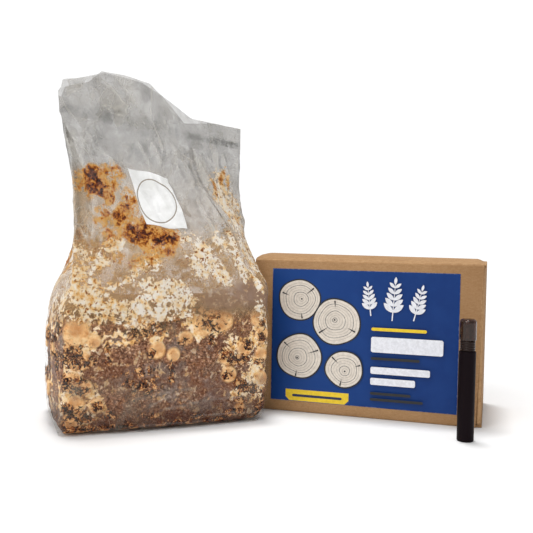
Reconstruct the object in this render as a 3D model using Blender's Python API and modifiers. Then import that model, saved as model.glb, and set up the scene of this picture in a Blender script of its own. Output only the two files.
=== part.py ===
"""Shiitake grow kit: a fruiting block grown through with mycelium in its sealed filter bag, the
kraft mailer that it ships in, stood up on its side, and a slim mist sprayer.

Metres, +Z up. The origin is on the floor, under the middle of the three things as they stand.
+X runs from the bag to the mailer, and +Y goes away from the person who looks at them.
"""

import math
import random

import bmesh
import bpy
import numpy as np
from mathutils import Vector

# Where each thing stands before all three are centred on the origin: the front left bottom
# corner of the bag and of the mailer, the middle of the sprayer's foot, and how each is turned.
BAG_PLACE = (-0.1781, 0.6297)
BAG_TURN = math.radians(21.6)
CARTON_PLACE = (-0.0114, 0.7524)
CARTON_TURN = math.radians(-17.4)
SPRAYER_PLACE = (0.1814, 0.6415)

# Film and block. The film is drawn thicker than the real 0.1 mm so that it is a solid.
FILM = 0.0008
SEAL_GAP = 0.0012
MOUTH_FLARE = 0.0035
BAG_WIDTH = 0.199
BAG_COLUMNS = 48
BLOCK_BASE = 0.0016
BLOCK_INSET = 0.0062
KNOT_CLEARANCE = 0.0016
PATCH_THICK = 0.0005
PATCH_GAP = 0.0006
PATCH_CELLS = 5

# The share of the way round at which each named line of the bag lies, from the front left
# crease over the front, the right side, the back and the left side.
LINES = (0.0, 0.155, 0.31, 0.405, 0.50, 0.655, 0.81, 0.905)

# Sections of the bag, floor to seal: height at the left, height at the right, how far corners
# are rounded as a share of the way round, and where the eight lines are, as (along, back):
# front left, front middle, front right, right side, back right, back middle, back left, left side.
SECTIONS = (
    (0.000, 0.000, 0.013, ((-0.003, -0.003), (0.100, -0.0065), (0.187, 0.000), (0.190, 0.060),
                           (0.188, 0.112), (0.100, 0.118), (0.003, 0.114), (-0.003, 0.060))),
    (0.012, 0.012, 0.018, ((-0.003, -0.003), (0.100, -0.008), (0.1965, 0.000), (0.1965, 0.060),
                           (0.196, 0.119), (0.100, 0.125), (-0.002, 0.121), (-0.008, 0.060))),
    (0.060, 0.060, 0.018, ((-0.002, -0.002), (0.100, -0.006), (0.1985, 0.000), (0.1970, 0.060),
                           (0.197, 0.121), (0.100, 0.126), (-0.003, 0.122), (-0.009, 0.060))),
    (0.100, 0.100, 0.017, ((-0.001, -0.001), (0.100, -0.005), (0.198, 0.000), (0.1975, 0.048),
                           (0.197, 0.118), (0.100, 0.124), (0.000, 0.120), (-0.008, 0.060))),
    (0.128, 0.128, 0.010, ((0.0075, 0.003), (0.095, 0.000), (0.185, 0.005), (0.2000, 0.024),
                           (0.1935, 0.108), (0.100, 0.119), (0.006, 0.112), (0.000, 0.060))),
    (0.154, 0.154, 0.008, ((0.009, 0.006), (0.092, 0.006), (0.173, 0.012), (0.1925, 0.036),
                           (0.197, 0.092), (0.100, 0.103), (0.014, 0.098), (0.020, 0.056))),
    (0.187, 0.187, 0.007, ((0.010, 0.012), (0.086, 0.018), (0.160, 0.021), (0.180, 0.047),
                           (0.194, 0.072), (0.100, 0.080), (0.019, 0.070), (0.032, 0.040))),
    (0.228, 0.226, 0.006, ((0.009, 0.016), (0.071, 0.027), (0.136, 0.033), (0.161, 0.050),
                           (0.186, 0.065), (0.100, 0.060), (0.014, 0.046), (0.025, 0.030))),
    (0.260, 0.252, 0.005, ((0.0035, 0.017), (0.062, 0.0305), (0.127, 0.0405), (0.156, 0.053),
                           (0.186, 0.064), (0.096, 0.047), (0.008, 0.029), (0.012, 0.0235))),
    (0.288, 0.270, 0.004, ((-0.001, 0.0172), (0.060, 0.0315), (0.122, 0.0460), (0.154, 0.0550),
                           (0.186, 0.0632), (0.096, 0.0420), (0.001, 0.0200), (-0.002, 0.0184))),
)
SHOULDER = 3                      # The section where the block ends and the empty film starts
ROWS_PER_SECTION = (1, 2, 2, 2, 2, 2, 2, 2, 2)
TAIL_ROWS = 2
# The bag's cut edge above the seal: (share of the way round, height).
EDGE = ((0.000, 0.301), (0.008, 0.310), (0.060, 0.317), (0.093, 0.3290), (0.146, 0.3280),
        (0.210, 0.3240), (0.250, 0.3115), (0.302, 0.290), (0.405, 0.294), (0.500, 0.292),
        (0.600, 0.290), (0.690, 0.321), (0.750, 0.3280), (0.790, 0.3190), (0.860, 0.309))

# Knots of mycelium under the film of the front, as (along, height, radius).
FRONT_KNOTS = (
    (0.0125, 0.0915, 0.0127), (0.0280, 0.0840, 0.0064), (0.0150, 0.0677, 0.0109),
    (0.0105, 0.0477, 0.0098), (0.0210, 0.0430, 0.0070), (0.0136, 0.0293, 0.0082),
    (0.0303, 0.0264, 0.0073), (0.0110, 0.0120, 0.0080), (0.0834, 0.0739, 0.0082),
    (0.0985, 0.0695, 0.0068), (0.1098, 0.0841, 0.0073), (0.1280, 0.0960, 0.0109),
    (0.1467, 0.1000, 0.0118), (0.1514, 0.0644, 0.0082), (0.1537, 0.0479, 0.0082),
    (0.1696, 0.0723, 0.0082), (0.1834, 0.1000, 0.0072), (0.1879, 0.0850, 0.0075),
    (0.1884, 0.0647, 0.0073), (0.1895, 0.0420, 0.0070), (0.1665, 0.0140, 0.0066),
    (0.0620, 0.0150, 0.0070), (0.1180, 0.0160, 0.0068),
)
OTHER_KNOTS = 15                  # On the right side, the back and the left side
TOP_KNOTS = 5
CORNER_MARGIN = 0.03              # No seeded knot lies nearer to a back corner than this share
BLOCK_TOP = 0.117

# The breather patch's corners on the front film: (share of the way round, height).
PATCH_CORNERS = ((0.1404, 0.2427), (0.2300, 0.2340), (0.2244, 0.1870), (0.1377, 0.1905))

# The mailer, standing on the long side that its lid tucks into.
CARTON_WIDTH = 0.2307
CARTON_DEPTH = 0.118
CARTON_HEIGHT = 0.1575
BOARD = 0.003
ROLLED_WALL = 2 * BOARD
GAP = 0.0003
CROWN = 0.0055                    # The top wall stands proud of its front crease by this
CROWN_LOSS = 0.25                 # The share of that which is lost by the right end
CROWN_CREST = 0.033               # How far behind the lid the top wall is highest
CORNER_DROP = 0.009               # The crushed corner at the top right
LID_INSET_TOP = 0.0015
LID_INSET_FOOT = 0.0055
TUCK_FLAP = 0.040
EAR_FLAP = 0.055
EAR_FOOT = 0.012
EAR_TOP = CARTON_HEIGHT - 0.008
EDGE_STEP = 0.0012                # The rolled walls' edges lie this far behind the lid's face
PAST = 0.010                      # How far a cutter runs past the wall that it cuts
LABEL_SIZE = (0.1881, 0.1364)
LABEL_PLACE = (0.0193, 0.0113)
LABEL_THICK = 0.0004
LABEL_CORNER = 0.0015

# The sprayer.
BOTTLE_RADIUS = 0.0075
BOTTLE_HEIGHT = 0.0810
BOTTLE_WALL = 0.0012
NECK_RADIUS = 0.0055
NECK_BORE = 0.0040
NECK_TOP = 0.0885
COLLAR_TOP = 0.0905
COLLAR_BORE = NECK_RADIUS + GAP
SPRAYER_HEIGHT = 0.110
CAP_RADIUS = 0.0074
CAP_WALL = 0.0009
STEM_RADIUS = 0.0028
BUTTON_RADIUS = 0.0046
BUTTON_TOP = 0.1045
DIP_TUBE_RADIUS = 0.0013
DIP_TUBE_FOOT = 0.006
ROUND_STEPS = 18


def clear_scene():
    """Removes everything that the open file holds."""
    for obj in list(bpy.data.objects):
        bpy.data.objects.remove(obj, do_unlink=True)
    for group in list(bpy.data.collections):
        bpy.data.collections.remove(group)


def new_collection(name):
    group = bpy.data.collections.new(name)
    bpy.context.scene.collection.children.link(group)
    return group


def material(name, colour, roughness, metallic=0.0, alpha=1.0):
    """A Principled material. The colour is linear RGB."""
    made = bpy.data.materials.new(name)
    made.use_nodes = True
    shader = made.node_tree.nodes["Principled BSDF"]
    shader.inputs["Base Color"].default_value = (*colour, 1.0)
    shader.inputs["Roughness"].default_value = roughness
    shader.inputs["Metallic"].default_value = metallic
    shader.inputs["Alpha"].default_value = alpha
    made.diffuse_color = (*colour, 1.0)
    return made


def stand(group, name, place, turn):
    """An empty on the floor that carries one of the three things."""
    empty = bpy.data.objects.new(name, None)
    empty.location = (*place, 0.0)
    empty.rotation_euler = (0.0, 0.0, turn)
    group.objects.link(empty)
    return empty


def put(group, name, mesh, finish, parent):
    obj = bpy.data.objects.new(name, mesh)
    obj.parent = parent
    group.objects.link(obj)
    mesh.materials.append(finish)
    return obj


def mesh_from(name, build):
    """A mesh filled by build(bm)."""
    mesh = bpy.data.meshes.new(name)
    bm = bmesh.new()
    build(bm)
    bm.to_mesh(mesh)
    bm.free()
    return mesh


def box(bm, low, high):
    """A cube primitive stretched between two corners."""
    low, high = Vector(low), Vector(high)
    made = bmesh.ops.create_cube(bm, size=1.0)["verts"]
    for vert in made:
        vert.co = Vector(l + (c + 0.5) * (h - l) for l, h, c in zip(low, high, vert.co))
    return made


def boolean(obj, operation, other=None, group=None):
    cut = obj.modifiers.new(operation.lower(), "BOOLEAN")
    cut.operation = operation
    cut.solver = "EXACT"
    if group is None:
        cut.object = other
    else:
        cut.operand_type = "COLLECTION"
        cut.collection = group


def helper(group, name, mesh, parent):
    """A shape that cuts or joins another and is not a piece itself."""
    obj = bpy.data.objects.new(name, mesh)
    obj.parent = parent
    obj.hide_render = True
    obj.display_type = "WIRE"
    group.objects.link(obj)
    return obj


def around(share, values):
    """Straight-line interpolation of values given at LINES, closed round the bag."""
    knots = np.array(LINES + (1.0,))
    return np.interp(share % 1.0, knots, np.append(values, values[0]))


def section_points(share, section):
    """(along, back, height) on one section, its corners rounded by averaging over a short way."""
    left, right, rounding, lines = section
    along = np.array([p[0] for p in lines])
    back = np.array([p[1] for p in lines])
    steps = np.linspace(-1.0, 1.0, 9)
    weights = (1.0 - steps**2) + 0.1
    weights /= weights.sum()
    points = np.zeros((len(share), 3))
    for step, weight in zip(steps, weights):
        points[:, 0] += weight * around(share + rounding * step, along)
        points[:, 1] += weight * around(share + rounding * step, back)
    points[:, 2] = left + (right - left) * np.clip(points[:, 0] / BAG_WIDTH, 0.0, 1.0)
    return points


def bag_ring(share, level):
    """A ring of the bag's inner face. The level counts sections; 9.0 is the seal, 10.0 the edge."""
    last = len(SECTIONS) - 1
    if level > last:
        ring = section_points(share, SECTIONS[last])
        edge = np.interp(share % 1.0, [e[0] for e in EDGE] + [1.0],
                         [e[1] for e in EDGE] + [EDGE[0][1]])
        ring[:, 2] += (level - last) * (edge - ring[:, 2])
        half = 0.5 * SEAL_GAP + (level - last) * MOUTH_FLARE
    else:
        below = min(int(level), last - 1)
        part = level - below
        ring = ((1.0 - part) * section_points(share, SECTIONS[below])
                + part * section_points(share, SECTIONS[below + 1]))
        half = 0.5 * SEAL_GAP * max(0.0, level - last + 1.0)
    # Front and back layers are kept apart, square to the line of the seal.
    lines = SECTIONS[last][3]
    seal = Vector((lines[4][0] - lines[0][0], lines[4][1] - lines[0][1])).normalized()
    layer = np.where(share % 1.0 < LINES[4], -1.0, 1.0)
    ends = np.minimum(np.abs((share % 1.0) - LINES[4]), np.minimum(share % 1.0, 1.0 - share % 1.0))
    layer *= np.clip(ends / 0.03, 0.0, 1.0)
    ring[:, 0] += -seal.y * layer * half
    ring[:, 1] += seal.x * layer * half
    return ring


def level_of_height(height):
    """The level at which a section of the bag's left side has this height."""
    return float(np.interp(height, [s[0] for s in SECTIONS], np.arange(len(SECTIONS))))


def outward(ring):
    """Unit vectors square to a ring, pointing out, in plan."""
    ahead = np.roll(ring, -1, axis=0) - np.roll(ring, 1, axis=0)
    out = np.stack([ahead[:, 1], -ahead[:, 0], np.zeros(len(ring))], axis=1)
    return out / np.linalg.norm(out, axis=1, keepdims=True)


def loft(bm, rings, cap_foot=True, cap_top=False):
    """Skins closed rings of equal count, lowest first, with a fan over either end."""
    rows = [[bm.verts.new(point) for point in ring] for ring in rings]
    count = len(rows[0])
    for lower, upper in zip(rows, rows[1:]):
        for i in range(count):
            j = (i + 1) % count
            bm.faces.new((lower[i], lower[j], upper[j], upper[i]))
    if cap_foot:
        middle = bm.verts.new(np.mean(rings[0], axis=0))
        for i in range(count):
            bm.faces.new((rows[0][(i + 1) % count], rows[0][i], middle))
    if cap_top:
        middle = bm.verts.new(np.mean(rings[-1], axis=0))
        for i in range(count):
            bm.faces.new((rows[-1][i], rows[-1][(i + 1) % count], middle))


def bag_shares(count=BAG_COLUMNS):
    return np.arange(count) / count


def build_bag(group, carrier):
    """The gusseted bag: an open film shell, flat-bottomed, that closes to its seal at the top."""
    share = bag_shares()
    levels = []
    for index, rows in enumerate(ROWS_PER_SECTION):
        levels += [index + row / rows for row in range(rows)]
    last = len(SECTIONS) - 1
    levels += [last + row / TAIL_ROWS for row in range(TAIL_ROWS + 1)]
    rings = [bag_ring(share, level) for level in levels]
    for ring in rings:
        ring[:, 2] += FILM
    mesh = mesh_from("grow_bag", lambda bm: loft(bm, rings))
    film = material("clear_film", (0.62, 0.60, 0.56), 0.28, alpha=0.45)
    bag = put(group, "grow_bag", mesh, film, carrier)
    wall = bag.modifiers.new("film", "SOLIDIFY")
    wall.thickness = FILM
    wall.offset = 1.0
    return bag


def core_ring(share, height, inset):
    """A ring of the block's own body, a little uneven, inside the film."""
    ring = bag_ring(share, level_of_height(height))
    waves = (0.0012 * np.sin(2 * math.pi * 7 * share + 90.0 * height)
             + 0.0009 * np.sin(2 * math.pi * 17 * share - 140.0 * height))
    ring -= outward(ring) * (inset + waves)[:, None]
    ring[:, 2] = height
    return ring


def shrunk(ring, inset):
    """The ring drawn in towards its middle, by the same length along both of its axes."""
    low, high = ring.min(axis=0), ring.max(axis=0)
    middle, half = (low + high) / 2, (high - low) / 2
    half[2] = 1.0
    share = 1.0 - inset / half
    share[2] = 1.0
    return middle + (ring - middle) * share


def build_core(bm):
    """The block's body: sides that follow the bag, and a top that rises a little to its middle."""
    share = bag_shares()
    sides = ((BLOCK_BASE, 0.0030), (0.006, 0.0010), (0.020, 0.0), (0.038, 0.0), (0.056, 0.0),
             (0.074, 0.0), (0.090, 0.0))
    rings = [core_ring(share, height, BLOCK_INSET + more) for height, more in sides]
    for height, inset in ((0.101, 0.002), (0.1085, 0.007), (0.113, 0.016), (0.1155, 0.032),
                          (BLOCK_TOP, 0.048)):
        ring = shrunk(rings[len(sides) - 1], inset)
        ring[:, 2] = height + 0.0010 * np.sin(10 * math.pi * share)
        rings.append(ring)
    loft(bm, rings, cap_top=True)


def side_knot(share, height, radius):
    """The centre of a knot that presses against the film here and clears it above and below."""
    around_it = np.array([share - 0.004, share, share + 0.004])
    ring = bag_ring(around_it, level_of_height(height))
    ahead = ring[2] - ring[0]
    out = np.array([ahead[1], -ahead[0], 0.0])
    out /= np.linalg.norm(out)
    depth = 0.0
    for rise in (-0.85 * radius, -0.5 * radius, 0.0, 0.5 * radius, 0.85 * radius):
        film = bag_ring(around_it, level_of_height(max(0.0, height + rise)))[1]
        lean = float((film - ring[1])[:2] @ out[:2])
        depth = max(depth, math.sqrt(radius**2 - rise**2) + KNOT_CLEARANCE - lean)
    centre = ring[1] - out * depth
    centre[2] = height
    return centre


def knot_places():
    """(centre, radius) of every knot, those of the front by hand and the others seeded."""
    places = []
    for along, height, radius in FRONT_KNOTS:
        share = LINES[2] * along / BAG_WIDTH
        places.append((side_knot(share, height, radius), radius))
    chance = random.Random(11)
    for index in range(OTHER_KNOTS):
        share = 0.335 + 0.64 * (index + chance.uniform(0.2, 0.8)) / OTHER_KNOTS
        for corner in (LINES[4], LINES[6]):
            if abs(share - corner) < CORNER_MARGIN:
                share = corner + math.copysign(CORNER_MARGIN, share - corner)
        radius = chance.uniform(0.0075, 0.0115)
        height = chance.uniform(0.016, 0.092)
        places.append((side_knot(share, height, radius), radius))
    for index in range(TOP_KNOTS):
        radius = chance.uniform(0.009, 0.013)
        along = 0.024 + 0.150 * (index + 0.5) / TOP_KNOTS
        back = 0.034 + 0.052 * chance.random()
        places.append((np.array([along, back, BLOCK_TOP - radius + 0.0015]), radius))
    return places


def build_block(group, helpers, carrier):
    """The fruiting block: one grown body, its knots joined to it."""
    grown = material("mycelium_block", (0.42, 0.26, 0.15), 0.75)
    block = put(group, "fruiting_block", mesh_from("fruiting_block", build_core), grown, carrier)
    knots = bpy.data.collections.new("knots")
    helpers.children.link(knots)
    for index, (centre, radius) in enumerate(knot_places()):
        def sphere(bm, centre=centre, radius=radius):
            made = bmesh.ops.create_icosphere(bm, subdivisions=2, radius=radius)["verts"]
            bmesh.ops.translate(bm, verts=made, vec=Vector(centre))
        helper(knots, f"knot_{index + 1:02d}", mesh_from("knot", sphere), carrier)
    boolean(block, "UNION", group=knots)
    return block


def front_level(share, height):
    """The level at which the front film has this height at this share of the way round."""
    levels = np.linspace(SHOULDER, len(SECTIONS) - 1, 61)
    heights = [bag_ring(np.array([share]), level)[0, 2] for level in levels]
    return float(np.interp(height, heights, levels))


def build_patch(group, carrier):
    """The white breather patch: a thin sheet that lies on the front film."""
    corners = [(share, front_level(share, height)) for share, height in PATCH_CORNERS]

    def sheet(bm):
        grid = []
        for row in range(PATCH_CELLS + 1):
            down = row / PATCH_CELLS
            line = []
            for column in range(PATCH_CELLS + 1):
                over = column / PATCH_CELLS
                share, level = (
                    (1 - down) * ((1 - over) * corners[0][k] + over * corners[1][k])
                    + down * ((1 - over) * corners[3][k] + over * corners[2][k])
                    for k in (0, 1)
                )
                ring = bag_ring(np.array([share - 0.003, share, share + 0.003]), level)
                out = outward(ring)[1]
                point = ring[1] + out * (FILM + PATCH_GAP)
                point[2] += FILM
                line.append(bm.verts.new(point))
            grid.append(line)
        for upper, lower in zip(grid, grid[1:]):
            for i in range(PATCH_CELLS):
                bm.faces.new((lower[i], lower[i + 1], upper[i + 1], upper[i]))

    paper = material("breather_paper", (0.85, 0.85, 0.84), 0.6)
    patch = put(group, "filter_patch", mesh_from("filter_patch", sheet), paper, carrier)
    thick = patch.modifiers.new("sheet", "SOLIDIFY")
    thick.thickness = PATCH_THICK
    thick.offset = 1.0
    return patch


def crown_height(along, back):
    """How far the mailer's top wall stands above its front crease."""
    rise = np.clip(back / CROWN_CREST, 0.0, 1.0)
    fall = np.clip((back - CROWN_CREST) / (CARTON_DEPTH - CROWN_CREST), 0.0, 1.0)
    crushed = np.clip((CARTON_WIDTH - along) / CORNER_DROP, 0.0, 1.0)
    left_over = 1.0 - CROWN_LOSS * along / CARTON_WIDTH
    return CROWN * left_over * rise * (1.0 - fall**2) * crushed


def crowned_box(bm, low, high):
    """A box whose top follows the crown."""
    box(bm, low, high)
    xs = np.linspace(low[0], high[0], 4)[1:-1].tolist() + [CARTON_WIDTH - CORNER_DROP]
    ys = [0.5 * CROWN_CREST, CROWN_CREST, 0.075]
    for axis, places in ((0, xs), (1, ys)):
        for place in places:
            at, normal = Vector((0, 0, 0)), Vector((0, 0, 0))
            at[axis], normal[axis] = place, 1.0
            bmesh.ops.bisect_plane(bm, geom=bm.verts[:] + bm.edges[:] + bm.faces[:],
                                   plane_co=at, plane_no=normal)
    for vert in bm.verts:
        if vert.co.z > high[2] - 1e-6:
            vert.co.z += float(crown_height(vert.co.x, vert.co.y))


def slanted_panel(bm, low, high, foot, margin=0.0):
    """A box whose right edge leans out from the foot to the top, as the lid's does."""
    for vert in box(bm, low, high):
        if vert.co.x > high[0] - 1e-6:
            rise = vert.co.z / CARTON_HEIGHT
            vert.co.x = foot + margin + rise * (LID_INSET_FOOT - LID_INSET_TOP)


def build_tray(group, helpers, carrier, kraft):
    """The mailer's body: single walls under and over, a single back, rolled double end walls."""
    tray = put(group, "carton_tray", mesh_from("carton_tray", lambda bm: crowned_box(
        bm, (0.0, EDGE_STEP, 0.0), (CARTON_WIDTH, CARTON_DEPTH, CARTON_HEIGHT))), kraft, carrier)
    hollow = helper(helpers, "carton_hollow", mesh_from("carton_hollow", lambda bm: crowned_box(
        bm, (ROLLED_WALL, -PAST, BOARD),
        (CARTON_WIDTH - ROLLED_WALL, CARTON_DEPTH - BOARD, CARTON_HEIGHT - BOARD))), carrier)
    boolean(tray, "DIFFERENCE", hollow)
    # The lid lies in a step cut across the top, the foot and the end walls.
    step = helper(helpers, "lid_step", mesh_from("lid_step", lambda bm: slanted_panel(
        bm, (-PAST, -PAST, -PAST), (CARTON_WIDTH, BOARD + GAP, CARTON_HEIGHT + PAST),
        CARTON_WIDTH - LID_INSET_FOOT, GAP)), carrier)
    boolean(tray, "DIFFERENCE", step)
    return tray


def build_lid(group, helpers, carrier, kraft):
    """The lid with its tuck flap and two ears, closed."""
    lid = put(group, "carton_lid", mesh_from("carton_lid", lambda bm: slanted_panel(
        bm, (0.0, 0.0, 0.0), (CARTON_WIDTH, BOARD, CARTON_HEIGHT),
        CARTON_WIDTH - LID_INSET_FOOT)), kraft, carrier)
    inside = BOARD - 0.0005
    left = ROLLED_WALL + GAP
    right = CARTON_WIDTH - ROLLED_WALL - GAP
    flaps = bpy.data.collections.new("lid_flaps")
    helpers.children.link(flaps)
    shapes = {
        "tuck_flap": ((left + BOARD, inside, BOARD + GAP),
                      (right - BOARD, TUCK_FLAP, 2 * BOARD + GAP)),
        "left_ear": ((left, inside, EAR_FOOT), (left + BOARD, EAR_FLAP, EAR_TOP)),
        "right_ear": ((right - BOARD, inside, EAR_FOOT), (right, EAR_FLAP, EAR_TOP)),
    }
    for name, (low, high) in shapes.items():
        helper(flaps, name, mesh_from(name, lambda bm: box(bm, low, high)), carrier)
    boolean(lid, "UNION", group=flaps)
    return lid


def build_label(group, carrier):
    """The printed label: a flat sheet with rounded corners on the lid."""
    width, height = LABEL_SIZE
    outline = bpy.data.curves.new("label_outline", "CURVE")
    outline.dimensions = "2D"
    outline.fill_mode = "BOTH"
    outline.extrude = LABEL_THICK / 2
    turns = 4
    points = []
    for corner, (x, y) in enumerate(((width, 0), (width, height), (0, height), (0, 0))):
        centre_x = abs(x - LABEL_CORNER)
        centre_y = abs(y - LABEL_CORNER)
        for step in range(turns + 1):
            angle = (corner - 1 + step / turns) * math.pi / 2
            points.append((centre_x + LABEL_CORNER * math.cos(angle),
                           centre_y + LABEL_CORNER * math.sin(angle)))
    line = outline.splines.new("POLY")
    line.points.add(len(points) - 1)
    for point, (x, y) in zip(line.points, points):
        point.co = (x, y, 0.0, 1.0)
    line.use_cyclic_u = True
    outline.materials.append(material("printed_label", (0.035, 0.09, 0.30), 0.4))
    label = bpy.data.objects.new("carton_label", outline)
    label.parent = carrier
    label.rotation_euler = (math.radians(90), 0.0, 0.0)
    label.location = (LABEL_PLACE[0], -GAP - LABEL_THICK / 2, LABEL_PLACE[1])
    group.objects.link(label)
    return label


def turned(group, name, profile, finish, carrier):
    """A profile of (radius, height) points, outer side from the top down, turned on its axis."""
    def line(bm):
        verts = [bm.verts.new((radius, 0.0, height)) for radius, height in profile]
        for first, second in zip(verts, verts[1:]):
            bm.edges.new((first, second))

    obj = put(group, name, mesh_from(name, line), finish, carrier)
    turn = obj.modifiers.new("turn", "SCREW")
    turn.axis = "Z"
    turn.angle = 2 * math.pi
    turn.steps = ROUND_STEPS
    turn.render_steps = ROUND_STEPS
    turn.use_merge_vertices = True
    turn.merge_threshold = 0.00001
    turn.use_smooth_shade = True
    return obj


def arc(centre, radius, start, end, steps):
    """Points on an arc in the profile's plane, angles in degrees."""
    angles = [math.radians(start + (end - start) * i / steps) for i in range(steps + 1)]
    return [(centre[0] + radius * math.cos(a), centre[1] + radius * math.sin(a)) for a in angles]


def build_sprayer(group, carrier):
    """The pen sprayer: a hollow bottle, its pump with collar, stem and dip tube, and its cap."""
    dark = material("charcoal_plastic", (0.012, 0.010, 0.011), 0.42)
    smoke = material("smoke_plastic", (0.06, 0.05, 0.045), 0.12, alpha=0.6)
    inner = BOTTLE_RADIUS - BOTTLE_WALL
    foot = 0.0006
    bottle = [(0.0, BOTTLE_WALL), (inner - 0.001, BOTTLE_WALL), (inner, BOTTLE_WALL + 0.001),
              (inner, BOTTLE_HEIGHT - 0.003), (NECK_BORE, BOTTLE_HEIGHT - 0.0012),
              (NECK_BORE, NECK_TOP), (NECK_RADIUS, NECK_TOP), (NECK_RADIUS, BOTTLE_HEIGHT),
              (BOTTLE_RADIUS - 0.0005, BOTTLE_HEIGHT), (BOTTLE_RADIUS, BOTTLE_HEIGHT - 0.0005),
              (BOTTLE_RADIUS, foot), (BOTTLE_RADIUS - foot, 0.0), (0.0, 0.0)]
    turned(group, "sprayer_bottle", bottle, dark, carrier)

    collar_foot = BOTTLE_HEIGHT + GAP
    roof = NECK_TOP + GAP
    plug = NECK_BORE - GAP
    pump = [(0.0, BUTTON_TOP), (BUTTON_RADIUS - 0.001, BUTTON_TOP),
            (BUTTON_RADIUS, BUTTON_TOP - 0.001), (BUTTON_RADIUS, COLLAR_TOP + 0.0045),
            (STEM_RADIUS, COLLAR_TOP + 0.0045), (STEM_RADIUS, COLLAR_TOP),
            (BOTTLE_RADIUS - 0.0003, COLLAR_TOP), (BOTTLE_RADIUS, COLLAR_TOP - 0.0003),
            (BOTTLE_RADIUS, collar_foot), (COLLAR_BORE, collar_foot), (COLLAR_BORE, roof),
            (plug, roof), (plug, BOTTLE_HEIGHT - 0.008), (DIP_TUBE_RADIUS, BOTTLE_HEIGHT - 0.011),
            (DIP_TUBE_RADIUS, DIP_TUBE_FOOT), (0.0, DIP_TUBE_FOOT)]
    turned(group, "sprayer_pump", pump, smoke, carrier)

    cap_foot = COLLAR_TOP + GAP
    crown = 0.0032
    bore = CAP_RADIUS - CAP_WALL
    cap = [(0.0, SPRAYER_HEIGHT)]
    cap += arc((CAP_RADIUS - crown, SPRAYER_HEIGHT - crown), crown, 90, 0, 4)
    cap += [(CAP_RADIUS, cap_foot), (bore, cap_foot)]
    cap += arc((bore - crown + CAP_WALL, SPRAYER_HEIGHT - crown), crown - CAP_WALL, 0, 90, 3)
    cap += [(0.0, SPRAYER_HEIGHT - CAP_WALL)]
    turned(group, "sprayer_cap", cap, smoke, carrier)


def centre_on_floor(group, carriers):
    """Moves the three things together until the middle of their box is over the origin."""
    bpy.context.view_layer.update()
    graph = bpy.context.evaluated_depsgraph_get()
    low, high = Vector((1e9,) * 3), Vector((-1e9,) * 3)
    for obj in group.objects:
        if obj.type == "EMPTY":
            continue
        shape = obj.evaluated_get(graph)
        mesh = shape.to_mesh()
        for vert in mesh.vertices:
            at = shape.matrix_world @ vert.co
            low = Vector(map(min, low, at))
            high = Vector(map(max, high, at))
        shape.to_mesh_clear()
    for carrier in carriers:
        carrier.location.x -= (low.x + high.x) / 2
        carrier.location.y -= (low.y + high.y) / 2
        carrier.location.z -= low.z


def main():
    clear_scene()
    kit = new_collection("shiitake_grow_kit")
    helpers = new_collection("helpers")
    helpers.hide_render = True
    bag_stand = stand(kit, "bag_stand", BAG_PLACE, BAG_TURN)
    carton_stand = stand(kit, "carton_stand", CARTON_PLACE, CARTON_TURN)
    sprayer_stand = stand(kit, "sprayer_stand", SPRAYER_PLACE, 0.0)
    kraft = material("kraft_board", (0.43, 0.25, 0.105), 0.85)

    build_block(kit, helpers, bag_stand)
    build_bag(kit, bag_stand)
    build_patch(kit, bag_stand)
    build_tray(kit, helpers, carton_stand, kraft)
    build_lid(kit, helpers, carton_stand, kraft)
    build_label(kit, carton_stand)
    build_sprayer(kit, sprayer_stand)
    centre_on_floor(kit, (bag_stand, carton_stand, sprayer_stand))


main()
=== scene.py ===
"""Looks of a shiitake grow kit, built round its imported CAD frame.

Three things stand side by side: a film bag with its fruiting block, a kraft mailer with a printed
label, and a mist sprayer. Each is a class that holds its sizes, builds its meshes and dresses
them. Metres, +Z up. Every mesh is a numpy surface whose place is in its points.
"""

from __future__ import annotations

import logging
import math
import random
from collections.abc import Mapping, Sequence
from dataclasses import dataclass, field
from enum import Enum
from typing import Any

import bpy
import numpy as np
from mathutils import Matrix, Vector


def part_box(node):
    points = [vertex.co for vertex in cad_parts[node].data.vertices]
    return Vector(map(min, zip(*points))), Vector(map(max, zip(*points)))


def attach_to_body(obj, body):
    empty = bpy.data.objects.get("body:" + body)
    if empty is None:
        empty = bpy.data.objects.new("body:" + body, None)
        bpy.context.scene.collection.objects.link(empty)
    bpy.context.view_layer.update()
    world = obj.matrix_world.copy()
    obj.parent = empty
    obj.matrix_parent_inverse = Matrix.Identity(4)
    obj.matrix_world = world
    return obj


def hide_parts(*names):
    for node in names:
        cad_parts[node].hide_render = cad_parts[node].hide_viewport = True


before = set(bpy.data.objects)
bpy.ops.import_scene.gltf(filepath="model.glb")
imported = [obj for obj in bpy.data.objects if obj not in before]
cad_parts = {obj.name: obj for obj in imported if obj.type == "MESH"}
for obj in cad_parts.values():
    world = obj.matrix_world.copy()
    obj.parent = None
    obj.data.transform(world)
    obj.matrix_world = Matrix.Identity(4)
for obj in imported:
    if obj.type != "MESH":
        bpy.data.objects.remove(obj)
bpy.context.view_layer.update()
LOG = logging.getLogger("grow_kit")

Array = np.ndarray
Socket = bpy.types.NodeSocket
Piece = bpy.types.Object
Colour = tuple[float, float, float, float]
Line = list[tuple[float, float]]

BODY = "root"
MM = 0.001

# Steps from the sprayer's foot to the other things, and their turns, as part.py has them.
BAG_STEP = (-0.3595, -0.0118)
BAG_TURN = math.radians(21.6)
CARTON_STEP = (-0.1928, 0.1109)
CARTON_TURN = math.radians(-17.4)


# ---------------------------------------------------------------- numbers

def srgb(red: float, green: float, blue: float) -> Colour:
    """The linear colour of a display colour whose parts run from 0 to 255.

    Args:
        red, green, blue: Parts of the display colour.

    Returns:
        Red, green, blue and an alpha of 1.
    """
    linear = [v / 12.92 if v <= 0.04045 else ((v + 0.055) / 1.055) ** 2.4
              for v in (red / 255.0, green / 255.0, blue / 255.0)]
    return (linear[0], linear[1], linear[2], 1.0)


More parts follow.
